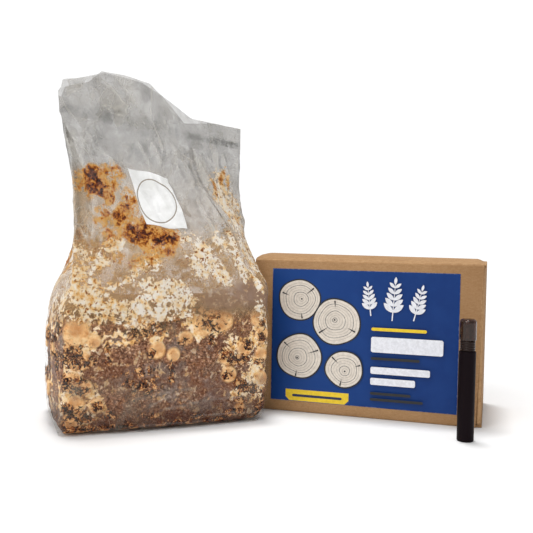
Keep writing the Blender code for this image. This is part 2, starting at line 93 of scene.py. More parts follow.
def ease(low: float, high: float, value: Array) -> Array:
    """A smooth step: 0 at low, 1 at high, and 3t^2 - 2t^3 between. Low may lie above high."""
    part = np.clip((value - low) / (high - low), 0.0, 1.0)
    return part * part * (3.0 - 2.0 * part)


def bell(away: Array, width: float) -> Array:
    """A bell: 1 where away is 0, falling as the exponential of minus its square."""
    return np.exp(-(away / width) ** 2)


def xyz(x: Array | float, y: Array | float, z: Array | float) -> Array:
    """Points from their three coordinates, of shapes that fit together."""
    return np.stack(np.broadcast_arrays(x, y, z), axis=-1).astype(float)


class LatticeNoise:
    """Value noise: seeded random numbers on a cubic lattice, blended by smooth steps."""

    SIDE = 32

    def __init__(self, seed: int) -> None:
        """Draws the lattice from a seed."""
        self.table = np.random.default_rng(seed).uniform(-1.0, 1.0, (self.SIDE,) * 3)

    def at(self, points: Array, size: float) -> Array:
        """Noise of one size.

        Args:
            points: Points in metres, last axis x, y, z.
            size: Width of a lattice cell in metres.

        Returns:
            Values from -1 to 1, one for each point.
        """
        cell = np.floor(points / size).astype(int)
        part = ease(0.0, 1.0, points / size - cell)
        total = np.zeros(points.shape[:-1])
        for corner in np.ndindex(2, 2, 2):
            weight = np.prod(np.where(corner, part, 1.0 - part), axis=-1)
            index = (cell + np.array(corner)) % self.SIDE
            total += weight * self.table[index[..., 0], index[..., 1], index[..., 2]]
        return total

    def fractal(self, points: Array, size: float, octaves: int = 4, gain: float = 0.5) -> Array:
        """A sum of octaves, each half the size and gain times the height of the last.

        Args:
            points: Points in metres.
            size: Size of the first octave in metres.
            octaves: How many octaves are added.
            gain: How much lower each octave is than the one before.

        Returns:
            Values of about -1 to 1.
        """
        heights = [gain**octave for octave in range(octaves)]
        sizes = [size / 2.0**octave for octave in range(octaves)]
        return sum(height * self.at(points + 7.31 * octave * width, width)
                   for octave, (height, width) in enumerate(zip(heights, sizes))) / sum(heights)

    def ridge(self, points: Array, size: float, sharp: float) -> Array:
        """Ridges where the noise crosses zero: 1 less its size times sharp."""
        return 1.0 - np.abs(self.at(points, size)) * sharp


@dataclass(frozen=True)
class Blob:
    """A soft ellipse on the unrolled bag, in millimetres.

    The first coordinate runs along the front from its left crease and goes on round the bag.
    """

    along: float
    height: float
    half_along: float
    half_height: float
    turn: float = 0.0
    weight: float = 1.0

    def field(self, along: Array, height: Array) -> Array:
        """The weight at the middle, easing to nothing outside the ellipse.

        Args:
            along: Coordinates along the bag, in millimetres.
            height: Heights in millimetres.

        Returns:
            The blob's strength at each point.
        """
        cos, sin = math.cos(math.radians(self.turn)), math.sin(math.radians(self.turn))
        over, up = along - self.along, height - self.height
        first = (over * cos + up * sin) / self.half_along
        second = (up * cos - over * sin) / self.half_height
        return self.weight * ease(1.45, 0.45, np.hypot(first, second))


def strongest(blobs: Sequence[Blob | Sequence[float]], along: Array, height: Array) -> Array:
    """The largest of the blobs' fields at each point.

    Args:
        blobs: Blobs, or rows of a Blob's six numbers.
        along: Coordinates along the bag, in millimetres.
        height: Heights in millimetres.

    Returns:
        The field, zero where there is no blob.
    """
    total = np.zeros(np.shape(along))
    for blob in blobs:
        blob = blob if isinstance(blob, Blob) else Blob(*blob)
        total = np.maximum(total, blob.field(along, height))
    return total


# ---------------------------------------------------------------- meshes

@dataclass(frozen=True)
class Stand:
    """The place and turn of one of the three things."""

    x: float
    y: float
    turn: float

    def world(self, points: Array) -> Array:
        """Turns and moves points from a thing's own coordinates into the world.

        Args:
            points: Points in the thing's coordinates.

        Returns:
            The same in the world.
        """
        cos, sin = math.cos(self.turn), math.sin(self.turn)
        x, y = points[..., 0], points[..., 1]
        return xyz(self.x + x * cos - y * sin, self.y + x * sin + y * cos, points[..., 2])

    def beside(self, step: tuple[float, float], turn: float) -> Stand:
        """Another stand, a step away."""
        return Stand(self.x + step[0], self.y + step[1], turn)


def make_object(name: str, points: Array, faces: Sequence[Sequence[int]],
                masks: Mapping[str, Array]) -> Piece:
    """A smooth-shaded mesh object at the origin.

    Args:
        name: The piece's name.
        points: Vertices in world coordinates.
        faces: Vertex numbers of each face, anticlockwise seen from outside.
        masks: Attributes by name, one value for each vertex.

    Returns:
        The new object, linked to the scene.
    """
    mesh = bpy.data.meshes.new(name)
    mesh.from_pydata(points.reshape(-1, 3).tolist(), [], list(faces))
    mesh.polygons.foreach_set("use_smooth", np.ones(len(mesh.polygons), bool))
    for mask, values in masks.items():
        layer = mesh.attributes.new(mask, "FLOAT", "POINT")
        layer.data.foreach_set("value", np.asarray(values, np.float32).ravel())
    mesh.update()
    made = bpy.data.objects.new(name, mesh)
    bpy.context.scene.collection.objects.link(made)
    return made


@dataclass
class Shell:
    """Points and faces gathered from several surfaces on one stand, to become one object."""

    stand: Stand
    points: list[Array] = field(default_factory=list)
    faces: list[list[int]] = field(default_factory=list)
    masks: dict[str, list[Array]] = field(default_factory=dict)
    count: int = 0

    def add(self, grid: Array, wrap: bool = True, poles: tuple[bool, bool] = (False, False),
            flip: bool = False, masks: Mapping[str, Array | float] | None = None) -> Shell:
        """Adds a grid of points as a surface.

        Args:
            grid: Points with rows first, then columns, then x, y, z, on the stand.
            wrap: Whether the columns close into a ring.
            poles: Whether the first and the last row are closed by a fan to their middle.
            flip: Whether the faces are turned over.
            masks: Attribute values for the grid's points, or one value for all of them.

        Returns:
            The shell itself.
        """
        rows, columns = grid.shape[:2]
        grid = self.stand.world(grid)
        row = self.count + np.arange(rows - 1)[:, None] * columns
        left = np.arange(columns if wrap else columns - 1)[None, :]
        right = (left + 1) % columns
        corners = (row + left, row + right, row + columns + right, row + columns + left)
        faces = np.stack(corners, axis=-1).reshape(-1, 4).tolist()
        points = [grid.reshape(-1, 3)]
        closed = [end for end, close in zip((0, rows - 1), poles) if close]
        for number, end in enumerate(closed):
            points.append(grid[end].mean(axis=0)[None])
            edge = self.count + end * columns + np.arange(columns)
            after = np.roll(edge, -1)
            pair = (after, edge) if end == 0 else (edge, after)
            pole = np.full(columns, self.count + rows * columns + number)
            faces += np.stack([*pair, pole], axis=1).tolist()
        self.points.append(np.concatenate(points))
        self.faces += [face[::-1] for face in faces] if flip else faces
        for name, values in (masks or {}).items():
            flat = np.broadcast_to(np.asarray(values, float), (rows, columns))
            filled = np.concatenate([flat.ravel(), [flat[end].mean() for end in closed]])
            self.masks.setdefault(name, []).append(filled)
        self.count += rows * columns + len(closed)
        return self

    def build(self, name: str, finish: Finish, wall: float = 0.0) -> Piece:
        """Makes the object and dresses it.

        Args:
            name: The piece's name.
            finish: Its finish.
            wall: Thickness that Solidify gives a sheet outwards, or 0 for a closed surface.

        Returns:
            The object that holds all that was added.
        """
        masks = {mask: np.concatenate(values) for mask, values in self.masks.items()}
        piece = make_object(name, np.concatenate(self.points), self.faces, masks)
        if wall:
            solid = piece.modifiers.new("wall", "SOLIDIFY")
            solid.thickness, solid.offset, solid.use_even_offset = wall, 1.0, False
        finish.dress(piece)
        return piece


# ---------------------------------------------------------------- shader building

@dataclass(frozen=True)
class Wire:
    """A node's output. Arithmetic and the calls below add nodes after it."""

    board: Board
    socket: Socket

    def math(self, operation: str, first: Any, second: Any = 0.0) -> Wire:
        """Adds a Math node."""
        return self.board.node("Math", {0: first, 1: second}, operation=operation)

    def __add__(self, other: Any) -> Wire:
        """The sum with a number or wire."""
        return self.math("ADD", self, other)

    def __sub__(self, other: Any) -> Wire:
        """The difference from a number or wire."""
        return self.math("SUBTRACT", self, other)

    def __rsub__(self, other: float) -> Wire:
        """A number less this."""
        return self.math("SUBTRACT", other, self)

    def __mul__(self, other: Any) -> Wire:
        """The product with a number or wire."""
        return self.math("MULTIPLY", self, other)

    def __abs__(self) -> Wire:
        """The value without its sign."""
        return self.math("ABSOLUTE", self)

    def most(self, other: Any) -> Wire:
        """The larger of this and another."""
        return self.math("MAXIMUM", self, other)

    def clamped(self) -> Wire:
        """The same value, held between 0 and 1 by its own Math node."""
        self.socket.node.use_clamp = True
        return self

    def noise(self, size: float, detail: float = 4.0, roughness: float = 0.55,
              distortion: float = 0.0, out: str = "Fac") -> Wire:
        """Fractal noise over these coordinates, with lumps up to size metres wide.

        Args:
            size: Width of the largest lumps in metres.
            detail: How many octaves are added.
            roughness: How strong the small ones are.
            distortion: How much the coordinates are warped.
            out: The wanted output.

        Returns:
            The noise.
        """
        return self.board.node("TexNoise", {
            "Vector": self, "Scale": 1.0 / size, "Detail": detail, "Roughness": roughness,
            "Distortion": distortion}, out)

    def cells(self, size: float, out: str, feature: str = "F1") -> Wire:
        """Voronoi cells over these coordinates, size metres wide."""
        return self.board.node("TexVoronoi", {"Vector": self, "Scale": 1.0 / size}, out,
                               feature=feature)

    def mapped(self, **values: Sequence[float]) -> Wire:
        """These coordinates through a Mapping node with a Rotation or a Scale."""
        return self.board.node("Mapping", {"Vector": self, **values})

    def turned(self, turn: float, scale: Sequence[float] = (1.0, 1.0, 1.0)) -> Wire:
        """These coordinates turned back about the vertical, then stretched."""
        return self.mapped(Rotation=(0.0, 0.0, -turn)).mapped(Scale=scale)

    def remap(self, low: float, high: float, to_low: float = 0.0, to_high: float = 1.0) -> Wire:
        """Carries a range smoothly to another range, and holds it at both ends.

        Args:
            low, high: The range that comes in.
            to_low, to_high: The range that it becomes.

        Returns:
            The new value.
        """
        return self.board.node("MapRange", {
            "Value": self, "From Min": low, "From Max": high, "To Min": to_low,
            "To Max": to_high}, interpolation_type="SMOOTHSTEP")

    def ramp(self, *stops: tuple[float, float, float, float]) -> Wire:
        """A colour ramp through stops of position, red, green and blue.

        Returns:
            The colour.
        """
        made = self.board.node("ValToRGB", {"Fac": self})
        marks = made.socket.node.color_ramp.elements
        while len(marks) < len(stops):
            marks.new(0.5)
        for mark, (position, *colour) in zip(marks, stops):
            mark.position, mark.color = position, srgb(*colour)
        return made

    def over(self, share: Any, colour: Any, blend: str = "MIX") -> Wire:
        """This colour with a share of another laid over it."""
        return self.board.mix(share, self, colour, blend)

    def bump(self, strength: float, distance: float) -> Wire:
        """The normal that this height gives."""
        return self.board.node("Bump", {"Height": self, "Strength": strength,
                                        "Distance": distance})


@dataclass(frozen=True)
class Board:
    """One node tree, with short calls that add nodes and link them."""

    tree: bpy.types.NodeTree

    def feed(self, socket: Socket, value: Any) -> None:
        """Links a wire to an input, or sets the input's value: three numbers on a colour input
        are a display colour.

        Args:
            socket: The input.
            value: A wire, number, vector or colour.
        """
        if isinstance(value, Wire):
            self.tree.links.new(value.socket, socket)
        elif socket.type == "RGBA" and len(value) == 3:
            socket.default_value = srgb(*value)
        else:
            socket.default_value = value

    def node(self, kind: str, values: Mapping[str | int, Any] | None = None,
             out: str | int = 0, **settings: Any) -> Wire | None:
        """Adds a node.

        Args:
            kind: Blender's name of the node type, without the ShaderNode in front.
            values: Input values or wires, by input name or number.
            out: Which output is wanted.
            settings: The node's own properties.

        Returns:
            The output, or None where the node has none.
        """
        made = self.tree.nodes.new("ShaderNode" + kind)
        for key, value in settings.items():
            setattr(made, key, value)
        for key, value in (values or {}).items():
            self.feed(made.inputs[key], value)
        return Wire(self, made.outputs[out]) if len(made.outputs) else None

    def mix(self, share: Any, first: Any, second: Any, blend: str = "MIX") -> Wire:
        """Mixes two colours."""
        return self.node("Mix", {0: share, 6: first, 7: second}, 2, data_type="RGBA",
                         blend_type=blend)

    def mask(self, name: str) -> Wire:
        """Reads one of the mesh's own attributes."""
        return self.node("Attribute", out="Fac", attribute_name=name)

    def place(self) -> Wire:
        """Object coordinates."""
        return self.node("TexCoord", out="Object")

    def effect(self, effect: Effect, place: Wire, **values: Any) -> dict[str, Wire]:
        """Places a shared effect in this tree, over coordinates, and gives its outputs.

        Args:
            effect: Which effect.
            place: Coordinates.
            values: Its other inputs by name.

        Returns:
            Its outputs by name.
        """
        made = self.tree.nodes.new("ShaderNodeGroup")
        made.node_tree = effect.tree()
        for name, value in {"Vector": place, **values}.items():
            self.feed(made.inputs[name], value)
        return {gives.name: Wire(self, gives) for gives in made.outputs}


def build_fibres(place: Wire) -> dict[str, Wire]:
    """Paper and board: a felt of short fibres, a few dark ones, and slow clouds.

    Gives Shade, a factor near 1, Dark, a mask, and Height.

    Args:
        place: Coordinates.

    Returns:
        The three outputs by name.
    """
    long_way = place.turned(0.0, (0.45, 0.45, 1.6))
    felt = place.noise(0.0012, 5.0, 0.7) * 0.5 + long_way.noise(0.0022, 4.0, 0.6, 0.6) * 0.5
    cloud = place.noise(0.035, 3.0, 0.5).remap(0.3, 0.7, -0.018, 0.018)
    return {"Shade": felt.remap(0.3, 0.7, 0.93, 1.06) + cloud,
            "Dark": long_way.noise(0.0009, 1.0, 0.5, 1.0).remap(0.70, 0.78), "Height": felt}


def build_edge_wear(place: Wire, edge: Wire) -> dict[str, Wire]:
    """Rubbed edges: the mesh's edge mask, broken up by noise. Gives Mask."""
    raised = edge + place.noise(0.004, 5.0, 0.65).remap(0.3, 0.7, -0.45, 0.25)
    return {"Mask": raised.remap(0.45, 1.0)}


def build_growth(place: Wire, amount: Wire, age: Wire) -> dict[str, Wire]:
    """Mycelium: ragged lacy cover that grows with Amount and yellows with Age.

    Gives its Colour, its Mask and its Halo, a wider, thinner veil.

    Args:
        place: Coordinates.
        amount: How much growth there is.
        age: How yellow.

    Returns:
        The three outputs by name.
    """
    broken = place.noise(0.0110, 2.0, 0.6, 0.5) * 0.45 + place.noise(0.0038, 3.0, 0.6, 0.4) * 0.55
    raised = amount + broken.remap(0.34, 0.66, -0.66, 0.66)
    present = amount.remap(0.02, 0.20)
    tone = place.noise(0.0060, 4.0, 0.7) + age * 0.11
    colour = tone.ramp((0.46, 255, 250, 240), (0.59, 252, 230, 188), (0.69, 238, 190, 112),
                       (0.77, 184, 106, 38), (0.80, 104, 46, 16))
    return {"Colour": colour, "Mask": present * raised.remap(0.50, 0.56),
            "Halo": present * raised.remap(0.20, 0.54)}


def build_rust(place: Wire, amount: Wire) -> dict[str, Wire]:
    """A rusty stain that darkens from straw through orange to maroon as Amount rises.

    Gives its Colour and its Mask.

    Args:
        place: Coordinates.
        amount: How strong the stain is.

    Returns:
        Both outputs by name.
    """
    broken = (place.noise(0.0085, 5.0, 0.68, 0.55) * 0.6
              + place.noise(0.0026, 5.0, 0.78, 0.55) * 0.4)
    level = (amount + broken.remap(0.34, 0.66, -0.44, 0.44)).clamped()
    colour = level.ramp((0.08, 244, 218, 158), (0.26, 236, 186, 98), (0.46, 206, 126, 42),
                        (0.60, 138, 64, 16), (0.74, 78, 28, 8), (0.92, 40, 12, 5))
    return {"Colour": colour, "Mask": amount.remap(0.04, 0.22) * level.remap(0.06, 0.34)}


def build_squiggles(place: Wire, amount: Wire) -> dict[str, Wire]:
    """Wet shavings: curly dark lines and blots on tan, closer together as Amount rises.

    The lines are where a warped noise crosses its middle value. Gives its Colour and its Mask.

    Args:
        place: Coordinates.
        amount: How dense the shavings are.

    Returns:
        Both outputs by name.
    """
    line = abs(place.noise(0.0085, 2.0, 0.55, 1.4) - 0.5)
    blot = place.noise(0.0048, 3.0, 0.7, 0.6)
    level = line.remap(0.010, 0.075, 0.0, 0.50) + blot.remap(0.40, 0.62, -0.22, 0.46)
    colour = level.ramp((0.08, 22, 9, 7), (0.24, 70, 28, 12), (0.36, 136, 68, 26),
                        (0.50, 198, 132, 72), (0.72, 232, 190, 136))
    edge = amount + place.noise(0.0060, 4.0, 0.65).remap(0.34, 0.66, -0.40, 0.40)
    return {"Colour": colour, "Mask": edge.remap(0.42, 0.62)}


def build_specks(place: Wire, amount: Wire) -> dict[str, Wire]:
    """Scattered specks, more of them as Amount rises. Gives Mask."""
    spot = place.noise(0.0030, 2.0, 0.6, 0.8)
    return {"Mask": (spot + amount * 0.25).remap(0.82, 0.87)}


def build_crumple(place: Wire) -> dict[str, Wire]:
    """Crumpled film: flat facets that lean one way, with thin bright creases between them.

    The facets are cells of a warped, drawn out lattice of points. Gives Facet, a
    painted light and shade tone for each facet that is 0.5 on average, and Crease,
    a mask of whitened creases with a painted glint.

    Args:
        place: Coordinates.

    Returns:
        Both outputs by name.
    """
    board = place.board
    shift = board.node("VectorMath", {0: place.noise(1.0 / 55.0, 2.0, 0.5, 0.0, "Color"),
                                      1: (-0.5,) * 3}, operation="ADD")
    bent = board.node("VectorMath", {0: shift, 1: (0.012,) * 3, 2: place},
                      operation="MULTIPLY_ADD")
    tones, lines = [], []
    for lean, size, draw in ((0.50, 0.016, 0.34), (-0.30, 0.011, 0.55)):
        drawn = bent.mapped(Rotation=(0.0, lean, -BAG_TURN)).mapped(Scale=(1.0, 1.0, draw))
        tones.append(board.node("SeparateColor", {0: drawn.cells(size, "Color")}))
        edge = drawn.cells(size, "Distance", "DISTANCE_TO_EDGE")
        lines.append(edge.remap(0.0, 0.045, 1.0, 0.0))
    sparse = place.noise(0.030, 2.0).remap(0.42, 0.60)
    return {"Facet": tones[0] * 0.6 + tones[1] * 0.4, "Crease": lines[0].most(lines[1]) * sparse}


class Effect(Enum):
    """Shared shader effects: each one's name, the inputs it takes beside Vector, and what
    builds it."""

    FIBRES = ("paper fibres", (), build_fibres)
    EDGE_WEAR = ("edge wear", ("Edge",), build_edge_wear)
    GROWTH = ("mycelium growth", ("Amount", "Age"), build_growth)
    RUST = ("rusty stain", ("Amount",), build_rust)
    SQUIGGLES = ("wet shavings", ("Amount",), build_squiggles)
    SPECKS = ("fine specks", ("Amount",), build_specks)
    CRUMPLE = ("crumpled film", (), build_crumple)

    def tree(self) -> bpy.types.NodeTree:
        """The effect's node group, built at its first use.

        Returns:
            The node group.
        """
        name, takes, build = self.value
        found = bpy.data.node_groups.get(name)
        if found:
            return found
        tree = bpy.data.node_groups.new(name, "ShaderNodeTree")
        for title in ("Vector", *takes):
            kind = "NodeSocketVector" if title == "Vector" else "NodeSocketFloat"
            tree.interface.new_socket(title, in_out="INPUT", socket_type=kind)
        board = Board(tree)
        start = tree.nodes.new("NodeGroupInput")
        made = build(*(Wire(board, start.outputs[t]) for t in ("Vector", *takes)))
        for title, wire in made.items():
            kind = "NodeSocketColor" if wire.socket.type == "RGBA" else "NodeSocketFloat"
            tree.interface.new_socket(title, in_out="OUTPUT", socket_type=kind)
        end = tree.nodes.new("NodeGroupOutput")
        for title, wire in made.items():
            board.feed(end.inputs[title], wire)
        return tree


# ---------------------------------------------------------------- finishes

class Finish:
    """A surface finish. Each kind wires its own nodes into one Principled shader."""

    name = "finish"

    def wire(self, board: Board) -> dict[str, Any]:
        """Builds the nodes, and gives values or wires by the shader's input names."""
        raise NotImplementedError

    def surface(self, board: Board) -> Wire:
        """The surface shader: one Principled shader unless a finish needs more."""
        return board.node("BsdfPrincipled", self.wire(board))

    def dress(self, piece: Piece) -> None:
        """Puts the finish on a piece, its material made at its first use.

        Args:
            piece: The piece to dress.
        """
        made = bpy.data.materials.get(self.name)
        if not made:
            made = bpy.data.materials.new(self.name)
            made.use_nodes = True
            made.node_tree.nodes.clear()
            board = Board(made.node_tree)
            board.node("OutputMaterial", {"Surface": self.surface(board)})
        piece.data.materials.append(made)


@dataclass(frozen=True)
class GrownBlock(Finish):
    """Sawdust grown through with mycelium: brown crumb, cream crust, knots and shavings."""

    name: str = "grown block"
    crumb_size: float = 0.0024

    def wire(self, board: Board) -> dict[str, Any]:
        """Crumb first, then cream crust, knots with tan hearts, painted shade at the foot and the
        top, and dark shavings on top.

        Args:
            board: The material's board.

        Returns:
            Values or wires by the shader's input names.
        """
        place = board.place()
        crumb = place.noise(self.crumb_size, 6.0, 0.78, 0.3)
        brown = crumb.ramp((0.33, 22, 9, 6), (0.43, 80, 44, 28), (0.52, 138, 94, 68),
                           (0.59, 184, 140, 110), (0.66, 244, 226, 204))
        grey = crumb.ramp((0.30, 54, 42, 40), (0.48, 118, 100, 94), (0.60, 162, 144, 136),
                          (0.72, 216, 204, 196))
        colour = brown.over(place.noise(0.020, 4.0, 0.6).remap(0.50, 0.64), grey)
        slow = place.noise(0.034, 3.0, 0.5, 0.4)
        colour = colour.over(slow.remap(0.46, 0.66, 0.0, 0.55), (104, 62, 42))
        growth = board.effect(Effect.GROWTH, place, Amount=board.mask("growth"), Age=0.95)
        colour = colour.over(growth["Halo"] * 0.45, (196, 152, 112))
        colour = colour.over(growth["Mask"], growth["Colour"])
        rough = place.noise(0.0050, 4.0, 0.65)
        colour = colour.over(board.mask("knot"), rough.ramp(
            (0.34, 204, 142, 84), (0.48, 238, 192, 136), (0.62, 252, 222, 174)))
        heart = board.mask("heart") + rough.remap(0.3, 0.7, -0.30, 0.30)
        colour = colour.over(heart.remap(0.20, 0.95, 0.0, 0.65), (200, 146, 96))
        # Painted shade by the low mask: the foot turns a darker rust brown that is partly painted
        # shade, and the top is darkened as painted shade.
        low = board.mask("low")
        colour = colour.over(low * 0.70, (74, 34, 20))
        wet = board.effect(Effect.SQUIGGLES, place, Amount=board.mask("crumbs"))
        colour = colour.over(wet["Mask"], wet["Colour"])
        colour = colour.over(1.0, (255, 247, 237), "MULTIPLY")
        # More painted shade at the foot and the top.
        colour = colour.over(low * 0.6, (176, 140, 116), "MULTIPLY")
        return {"Base Color": colour, "Roughness": crumb.remap(0.3, 0.7, 0.42, 0.80),
                "Specular IOR Level": 0.20, "Coat Weight": 0.10, "Coat Roughness": 0.25,
                "Normal": crumb.bump(0.55, 0.0008)}


@dataclass(frozen=True)
class BarkCrumb(Finish):
    """Wet dark crumbs and shavings, from near black to rust, by the mesh's tone mask."""

    name: str = "bark crumb"

    def wire(self, board: Board) -> dict[str, Any]:
        """A ramp over each crumb's own tone, with a little grain.

        Args:
            board: The material's board.

        Returns:
            Values or wires by the shader's input names.
        """
        grain = board.place().noise(0.0008, 3.0)
        tone = board.mask("tone") + grain.remap(0.3, 0.7, -0.12, 0.12)
        colour = tone.ramp((0.08, 24, 12, 9), (0.36, 66, 32, 17), (0.62, 126, 68, 30),
                           (0.90, 190, 128, 72))
        return {"Base Color": colour, "Roughness": 0.38, "Coat Weight": 0.3,
                "Coat Roughness": 0.2, "Normal": grain.bump(0.4, 0.0003)}


@dataclass(frozen=True)
class ClearFilm(Finish):
    """Crumpled clear film that grows hazy, smeared with mycelium and stained by its drip.

    It is part clear, part matt and part glowing with the light behind it.
    """

    name: str = "clear film"
    glow: float = 0.30

    def cover(self, board: Board) -> tuple[Wire, Wire]:
        """Haze, seal grain, growth and stain in turn, each adding to colour and to cover, with
        painted light and shade on facets, folds and creases, and painted shade over the gap by the
        block.

        Args:
            board: The material's board.

        Returns:
            The film's colour, and how much it hides.
        """
        place = board.place()
        growth = board.effect(Effect.GROWTH, place, Amount=board.mask("growth"),
                              Age=board.mask("age"))
        stained = board.mask("stain")
        stain = board.effect(Effect.RUST, place, Amount=stained)
        crumple = board.effect(Effect.CRUMPLE, place)
        residue, free = board.mask("residue"), board.mask("free")
        dusk, fold = board.mask("dusk"), board.mask("fold")
        halo, painted_facet_light = growth["Halo"], free * (crumple["Facet"] - 0.5)
        milky = place.noise(0.012, 5.0, 0.6)
        tint = board.mix(residue, (150, 146, 140), (214, 176, 122)).over(
            milky.remap(0.36, 0.68, 0.0, 0.45),
            board.mix(residue, (188, 184, 176), (222, 192, 144)))
        # Creases: whitened film with a painted glint.
        crease = board.mask("crease").most(crumple["Crease"] * free * 0.55)
        drip = place.noise(0.0070, 4.0, 0.65).remap(0.3, 0.7, -0.26, 0.26)
        amber = (stained + drip).remap(0.02, 0.46) * stained.remap(0.01, 0.14)
        grain = place.noise(0.0026, 4.0, 0.85)
        seal = board.mask("seal") * grain.remap(0.42, 0.58)
        dots = board.effect(Effect.SPECKS, place, Amount=halo * 0.9)
        # Paler and denser at grazing angles: painted sheen, and thicker haze.
        facing = board.node("LayerWeight", {"Blend": 0.35}, "Facing")
        for share, colour in (
                # Painted light and shade: each facet of the free film lighter or darker.
                (painted_facet_light.remap(0.0, 0.5, 0.0, 0.55), (216, 212, 204)),
                (painted_facet_light.remap(0.0, -0.5, 0.0, 0.45), (88, 86, 81)),
                # Painted shade over the gap beside the block's top.
                (dusk * 0.9, (166, 134, 114)),
                # Painted highlight and painted shade on the folds, by their slope.
                (fold.remap(0.02, 0.50, 0.0, 0.62), (226, 223, 216)),
                (fold.remap(-0.02, -0.50, 0.0, 0.55), (66, 65, 62)),
                # Bright crease lines: whitened film with a painted glint.
                (crease * 0.8, (236, 233, 226)), (amber * 0.85, (230, 176, 92)),
                (seal * 0.75, (66, 67, 62)), (halo * 0.60, (226, 190, 136)),
                (growth["Mask"], growth["Colour"]), (stain["Mask"], stain["Colour"]),
                (dots["Mask"], (150, 84, 28)),
                # Painted sheen at grazing angles.
                (facing.remap(0.55, 1.0, 0.0, 0.35), (226, 214, 202))):
            tint = tint.over(share, colour)
        # The painted facets, folds and gap shade also thicken the film's cover.
        haze = board.mask("haze") + crease * 0.35
        for part in (seal * 0.16, halo * 0.28, dusk * 0.50, amber * 0.42, abs(painted_facet_light) * 0.22,
                     abs(fold) * 0.22, milky.remap(0.3, 0.7, -0.07, 0.07),
                     crumple["Facet"].remap(0.62, 0.88, 0.0, 0.16),
                     facing.remap(0.55, 1.0, 0.0, 0.15)):
            haze = haze + part
        cover = (growth["Mask"] * 0.98).most(stain["Mask"] * 0.94).most(dots["Mask"] * 0.8)
        return tint, cover.most(haze).clamped()

    def surface(self, board: Board) -> Wire:
        """Mixes clear, matt and glowing by how much the film hides.

        Args:
            board: The material's board.

        Returns:
            The film's shader.
        """
        colour, cover = self.cover(board)
        # The wall has two faces, so each lets through the square root of what the film does.
        clear = cover.math("SQRT", (1.0 - cover).clamped())
        wrinkle = board.place().turned(BAG_TURN, (1.0, 1.0, 0.45)).noise(0.010, 5.0, 0.5)
        normal = wrinkle.bump(0.4, 0.004)
        matt = board.node("BsdfPrincipled", {"Base Color": colour, "Roughness": 0.26,
                                             "Specular IOR Level": 0.5, "Normal": normal})
        glow = board.node("BsdfTranslucent", {"Color": colour, "Normal": normal})
        film = board.node("MixShader", {0: self.glow, 1: matt, 2: glow})
        return board.node("MixShader", {0: clear, 1: film, 2: board.node("BsdfTransparent")})


@dataclass(frozen=True)
class BreatherPaper(Finish):
    """White spun-bonded sheet with a thin heat-pressed ring."""

    name: str = "breather paper"

    def wire(self, board: Board) -> dict[str, Any]:
        """Soft white with faint fibres, and a grey brown line where the ring mask is.

        Args:
            board: The material's board.

        Returns:
            Values or wires by the shader's input names.
        """
        place = board.place()
        white = place.noise(0.014, 4.0, 0.6).ramp((0.35, 234, 234, 231), (0.6, 252, 252, 251))
        colour = white.over(board.mask("ring").remap(0.30, 0.75), (150, 138, 124))
        fibres = board.effect(Effect.FIBRES, place)
        return {"Base Color": colour, "Roughness": 0.62,
                "Normal": fibres["Height"].bump(0.25, 0.0003)}


@dataclass(frozen=True)
class KraftBoard(Finish):
    """Unbleached fluted board: brown liner, rubbed edges, and cut edges whose flute hollows are
    painted shade.
    """

    name: str = "kraft board"
    turn: float = CARTON_TURN
    flute_pitch: float = 0.0042

    def wire(self, board: Board) -> dict[str, Any]:
        """Fibres over a brown ground, painted shade of flute hollows where the cut mask is, wear
        along edges.

        Args:
            board: The material's board.

        Returns:
            Values or wires by the shader's input names.
        """
        place = board.place().turned(self.turn)
        fibres = board.effect(Effect.FIBRES, place)
        worn = board.effect(Effect.EDGE_WEAR, place, Edge=board.mask("edge"))
        # Painted shade: dark stripes along a sine stand for the flutes' hollows at the cut board.
        wave = board.node("SeparateXYZ", {0: place}) * (2.0 * math.pi / self.flute_pitch)
        cut = board.mask("cut") * wave.math("SINE", wave).remap(-0.3, 0.5)
        colour = board.mix(fibres["Shade"].remap(0.88, 1.12), (156, 118, 79), (184, 147, 107))
        for share, tone in ((fibres["Dark"] * 0.40, (120, 86, 54)),
                            (board.mask("shade") * 0.5, (120, 84, 50)),
                            (worn["Mask"] * 0.30, (204, 168, 126)), (cut * 0.6, (92, 62, 36))):
            colour = colour.over(share, tone)
        return {"Base Color": colour, "Roughness": 0.86, "Specular IOR Level": 0.25,
                "Normal": fibres["Height"].bump(0.35, 0.0004)}


@dataclass(frozen=True)
class LabelStock(Finish):
    """Satin label paper, printed blue all over, a little deeper towards one end."""

    name: str = "label stock"
    turn: float = CARTON_TURN

    def wire(self, board: Board) -> dict[str, Any]:
        """Blue with faint print mottle and a pale worn rim.

        Args:
            board: The material's board.

        Returns:
            Values or wires by the shader's input names.
        """
        place = board.place().turned(self.turn)
        mottle = place.noise(0.02, 4.0, 0.6).remap(0.35, 0.7, 0.0, 0.20)
        worn = board.effect(Effect.EDGE_WEAR, place, Edge=board.mask("edge"))
        # The blue deepens along the label, from one end to the other.
        blue = board.mix(board.mask("fade"), (16, 60, 126), (6, 48, 110))
        colour = blue.over(mottle, (28, 70, 136)).over(worn["Mask"] * 0.4, (176, 190, 214))
        return {"Base Color": colour, "Roughness": 0.40, "Specular IOR Level": 0.20,
                "Normal": board.effect(Effect.FIBRES, place)["Height"].bump(0.12, 0.0002)}


class InkTone(Enum):
    """The label's printing inks, as display colours."""

    CREAM = (226, 216, 203)
    WHITE = (233, 234, 240)
    YELLOW = (238, 202, 32)
    BLACK = (20, 22, 28)
    NAVY = (17, 32, 74)
    WARM_GREY = (190, 178, 164)


